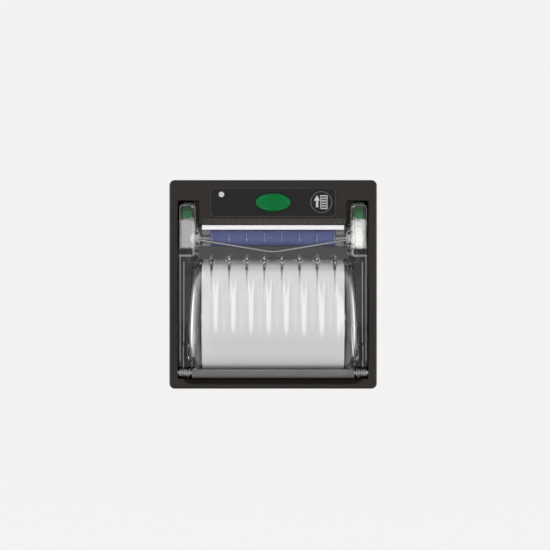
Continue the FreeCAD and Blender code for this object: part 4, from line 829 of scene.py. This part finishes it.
dot = {"x": -20.9, "z": 36.4, "radius": 1.1, "front": -5.24, "rear": -5.2, "steps": 48}
rings = [(0, 0, dot["front"]), (dot["radius"], dot["radius"], dot["front"]),
         (dot["radius"], dot["radius"], dot["rear"]), (0, 0, dot["rear"])]
addPiece("labelDot", [ovalRings(rings, dot["x"], dot["z"], dot["steps"])],
         materials["print_grey"], "root")
print("keypad made")

spring = {**hingeAxis, "start": 33.4, "end": 38.1, "radius": 1.85, "wire": 0.35, "turns": 5,
          "legX": 36.35, "legY": -2.35, "legFoot": 1.39, "legTop": -24.8, "legPoints": 8,
          "footX": 34.6, "footEnd": 2.7, "footPoints": 4}
turnPoints = 40


def makeSpring(s, sign):
    # a helix: its angle and its place along x both grow evenly; the foot runs straight back from
    # it, and the leg up the lid's side, on the lid, about the axis that they share
    a = np.linspace(0, 2 * np.pi * s["turns"], turnPoints * s["turns"] + 1)
    x = s["start"] + (s["end"] - s["start"]) * a / a[-1]
    coil = np.stack([sign * x, s["y"] + s["radius"] * np.cos(a), s["z"] + s["radius"] * np.sin(a)],
                    -1)
    foot = np.linspace([sign * s["footX"], s["y"], s["z"] - s["radius"]],
                       [sign * s["footX"], s["footEnd"], s["z"] - s["radius"]], s["footPoints"])
    leg = np.linspace([sign * s["legX"], s["legY"], s["z"] + s["legFoot"]],
                      [sign * s["legX"], s["legY"], s["legTop"]], s["legPoints"])
    coil, foot, leg = (wire(path, s["wire"], (1, 0, 0)) for path in (coil, foot, leg))
    return [coil, foot], [leg]


(leftCoil, leftLeg), (rightCoil, rightLeg) = (makeSpring(spring, sign) for sign in (-1, 1))
addPiece("springCoils", leftCoil + rightCoil, materials["spring_steel"], "root",
         ["torsion_springs"], sharp=60)
addPiece("springLegs", leftLeg + rightLeg, materials["spring_steel"], "lid",
         sharp=60)

latch = {"front": 3.95, "rear": 11.7, "radius": 1.5, "wire": 0.18, "turns": 5, "z": 33.5,
         "keep": 0.8}


def makeLatchSpring(s):
    # a helix along y behind the button
    a = np.linspace(0, 2 * np.pi * s["turns"], turnPoints * s["turns"] + 1)
    y = s["front"] + (s["rear"] - s["front"]) * a / a[-1]
    path = np.stack([s["radius"] * np.cos(a), y, s["z"] + s["radius"] * np.sin(a)], -1)
    obj = addPiece("latchSpring", [wire(path, s["wire"], (0, 1, 0))], materials["spring_steel"],
                   "root", ["latch_spring"], sharp=60)
    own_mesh(obj)


makeLatchSpring(latch)
print("springs made")

# the backdrop is straight, a quarter circle, then straight, seen from the side in metres
backdropShape = {"front": -3.0, "bendY": 1.2, "bendZ": 0.8, "radius": 0.8, "rear": 2.0, "top": 3.0,
                 "floor": -0.13, "half": 4, "bendPoints": 24, "columns": 5}


def makeBackdrop(b):
    # a floor that curves up into a wall, as one sheet
    bend = np.linspace(0, np.pi / 2, b["bendPoints"])
    y = np.concatenate([[b["front"]], b["bendY"] + b["radius"] * np.sin(bend), [b["rear"]]])
    z = np.concatenate([[0.0], b["bendZ"] - b["radius"] * np.cos(bend), [b["top"]]]) + b["floor"]
    x = np.linspace(-b["half"], b["half"], b["columns"])
    grid = np.stack(np.broadcast_arrays(x[None, :], y[:, None], z[:, None]), -1)
    mesh = bpy.data.meshes.new("backdrop")
    faces = gridFaces(len(y), b["columns"])[:, ::-1]
    mesh.from_pydata(grid.reshape(-1, 3).tolist(), [], faces.tolist())
    mesh.shade_smooth()
    obj = bpy.data.objects.new("backdrop", mesh)
    bpy.context.scene.collection.objects.link(obj)
    return obj


# seen is how bright the backdrop and the world look; gloss and glass meet a studio that is dark
# behind the camera (where the direction's y is under ahead) and white all round (over beside),
# with a tall soft light each side of the camera, and one at each side that only gloss mirrors;
# mix and floor are the shares of plain glow in the backdrop, for the camera and for other rays;
# angles in degrees
studio = {
    "seen": 0.89, "mix": 0.93, "glow": 0.924, "world": 0.34, "floor": 0.5,
    "paper": 0.85, "gloss": 0.82, "dark": 0.08, "ahead": -0.96, "beside": -0.15,
    "strips": [
        {"from": 8, "to": 14, "soft": 3.5, "glow": 2.9},
        {"from": -14, "to": -8, "soft": 3.5, "glow": 0.8},
        {"from": 60, "to": 120, "soft": 20, "glow": 0.5, "mirrorOnly": True},
        {"from": -120, "to": -60, "soft": 20, "glow": 1.2, "mirrorOnly": True}],
    "tall": {"from": -42, "to": 72, "soft": 14}}


def smoothStep(tree, value, start, end, ends):
    step = addNode(tree, "ShaderNodeMapRange", interpolation_type="SMOOTHSTEP")
    step.inputs["From Min"].default_value, step.inputs["From Max"].default_value = start, end
    step.inputs["To Min"].default_value, step.inputs["To Max"].default_value = ends
    tree.links.new(value, step.inputs["Value"])
    return step.outputs[0]


def window(tree, angle, look):
    # 1 between two angles, with soft edges
    gate = [smoothStep(tree, angle, math.radians(edge - look["soft"]),
                       math.radians(edge + look["soft"]), ends)
            for edge, ends in ((look["from"], (0, 1)), (look["to"], (1, 0)))]
    return mathNode(tree, "MULTIPLY", *gate)


def bentRays(tree, path):
    # 1 for a ray that was mirrored or came through glass
    return mathNode(tree, "MAXIMUM", path.outputs["Is Glossy Ray"],
                    path.outputs["Is Transmission Ray"])


def makeStudioPaper(look):
    # pale paper that also glows a little, so that it is even; bent rays pass through it and meet
    # the world's studio instead
    mat, tree, shader = newMaterial("studio_paper", Roughness=0.9)
    shader.inputs["Base Color"].default_value = (*(look["paper"],) * 3, 1)
    glow = addNode(tree, "ShaderNodeEmission", Color=(look["glow"],) * 3 + (1,))
    mix, passOn = tree.nodes.new("ShaderNodeMixShader"), tree.nodes.new("ShaderNodeMixShader")
    path = tree.nodes.new("ShaderNodeLightPath")
    share = mathNode(tree, "MULTIPLY_ADD", path.outputs["Is Camera Ray"],
                     look["mix"] - look["floor"])
    share.node.inputs[2].default_value = look["floor"]
    feed(tree, mix, share, shader.outputs[0], glow.outputs[0])
    bent = bentRays(tree, path)
    clear = tree.nodes.new("ShaderNodeBsdfTransparent")
    feed(tree, passOn, bent, mix.outputs[0], clear.outputs[0])
    tree.links.new(passOn.outputs[0], tree.nodes["Material Output"].inputs["Surface"])
    return mat


def makeWorld(look):
    world = bpy.data.worlds.new("studio")
    bpy.context.scene.world = world
    world.use_nodes = True
    tree = world.node_tree
    sky = tree.nodes["Background"]
    sky.inputs["Color"].default_value = (1, 1, 1, 1)
    apart = tree.nodes.new("ShaderNodeSeparateXYZ")
    tree.links.new(tree.nodes.new("ShaderNodeTexCoord").outputs["Generated"], apart.inputs[0])
    bright = smoothStep(tree, apart.outputs[1], look["ahead"], look["beside"],
                        (look["dark"], look["gloss"]))
    azimuth = mathNode(tree, "ARCTAN2", apart.outputs[0],
                       mathNode(tree, "MULTIPLY", apart.outputs[1], -1.0))
    height = mathNode(tree, "ARCSINE", apart.outputs[2])
    tall = window(tree, height, look["tall"])
    path = tree.nodes.new("ShaderNodeLightPath")
    for side in look["strips"]:
        strip = mathNode(tree, "MULTIPLY", window(tree, azimuth, side), side["glow"])
        if side.get("mirrorOnly"):
            strip = mathNode(tree, "MULTIPLY", strip, path.outputs["Is Glossy Ray"])
        bright = mathNode(tree, "ADD", bright, mathNode(tree, "MULTIPLY", tall, strip))
    bent = bentRays(tree, path)
    seen = mathNode(tree, "MULTIPLY", path.outputs["Is Camera Ray"], look["seen"])
    level = mathNode(tree, "MAXIMUM", seen, mathNode(tree, "MULTIPLY", bent, bright))
    tree.links.new(mathNode(tree, "MAXIMUM", level, look["world"]), sky.inputs["Strength"])


makeBackdrop(backdropShape).data.materials.append(makeStudioPaper(studio))
makeWorld(studio)

# soft boxes that all face the object, in metres and watts; those not mirrored or not seen
# through glass light it without showing as blobs
lamps = {
    "lowRight": {"place": (0.305, -0.91, -0.04), "size": (0.08, 0.16), "watts": 0.22},
    "lowLeft": {"place": (-0.305, -0.91, -0.04), "size": (0.08, 0.16), "watts": 0.16},
    "front": {"place": (0, -1.5, 0.2), "size": (1.4, 0.6), "watts": 9.5, "mirrored": False,
              "through": False},
    "panelRight": {"place": (0.85, -0.30, 0.0), "size": (1.2, 1.2), "watts": 4.5, "through": False},
    "panelLeft": {"place": (-0.85, -0.30, 0.0), "size": (1.2, 1.2), "watts": 6.0,
                  "through": False}}


def addLamp(name, look):
    lamp = bpy.data.lights.new(name, "AREA")
    lamp.shape, lamp.energy = "RECTANGLE", look["watts"]
    lamp.size, lamp.size_y = look["size"]
    obj = bpy.data.objects.new(name, lamp)
    obj.location = look["place"]
    obj.rotation_mode = "QUATERNION"
    obj.rotation_quaternion = (-Vector(look["place"])).to_track_quat("-Z", "Y")
    obj.visible_camera = False
    obj.visible_glossy = look.get("mirrored", True)
    obj.visible_transmission = look.get("through", True)
    bpy.context.scene.collection.objects.link(obj)


for lampName, look in lamps.items():
    addLamp(lampName, look)

view = {"place": (0.00077, -1.5, 0.0038), "lens": 241.8, "sensor": 36, "farthest": 50}
camera = bpy.data.cameras.new("camera")
camera.lens, camera.sensor_width, camera.clip_end = view["lens"], view["sensor"], view["farthest"]
eye = bpy.data.objects.new("camera", camera)
eye.location = view["place"]
eye.rotation_euler = (math.pi / 2, 0, 0)
bpy.context.scene.collection.objects.link(eye)
bpy.context.scene.camera = eye
bpy.context.scene.view_settings.view_transform = "Standard"
print("studio set")
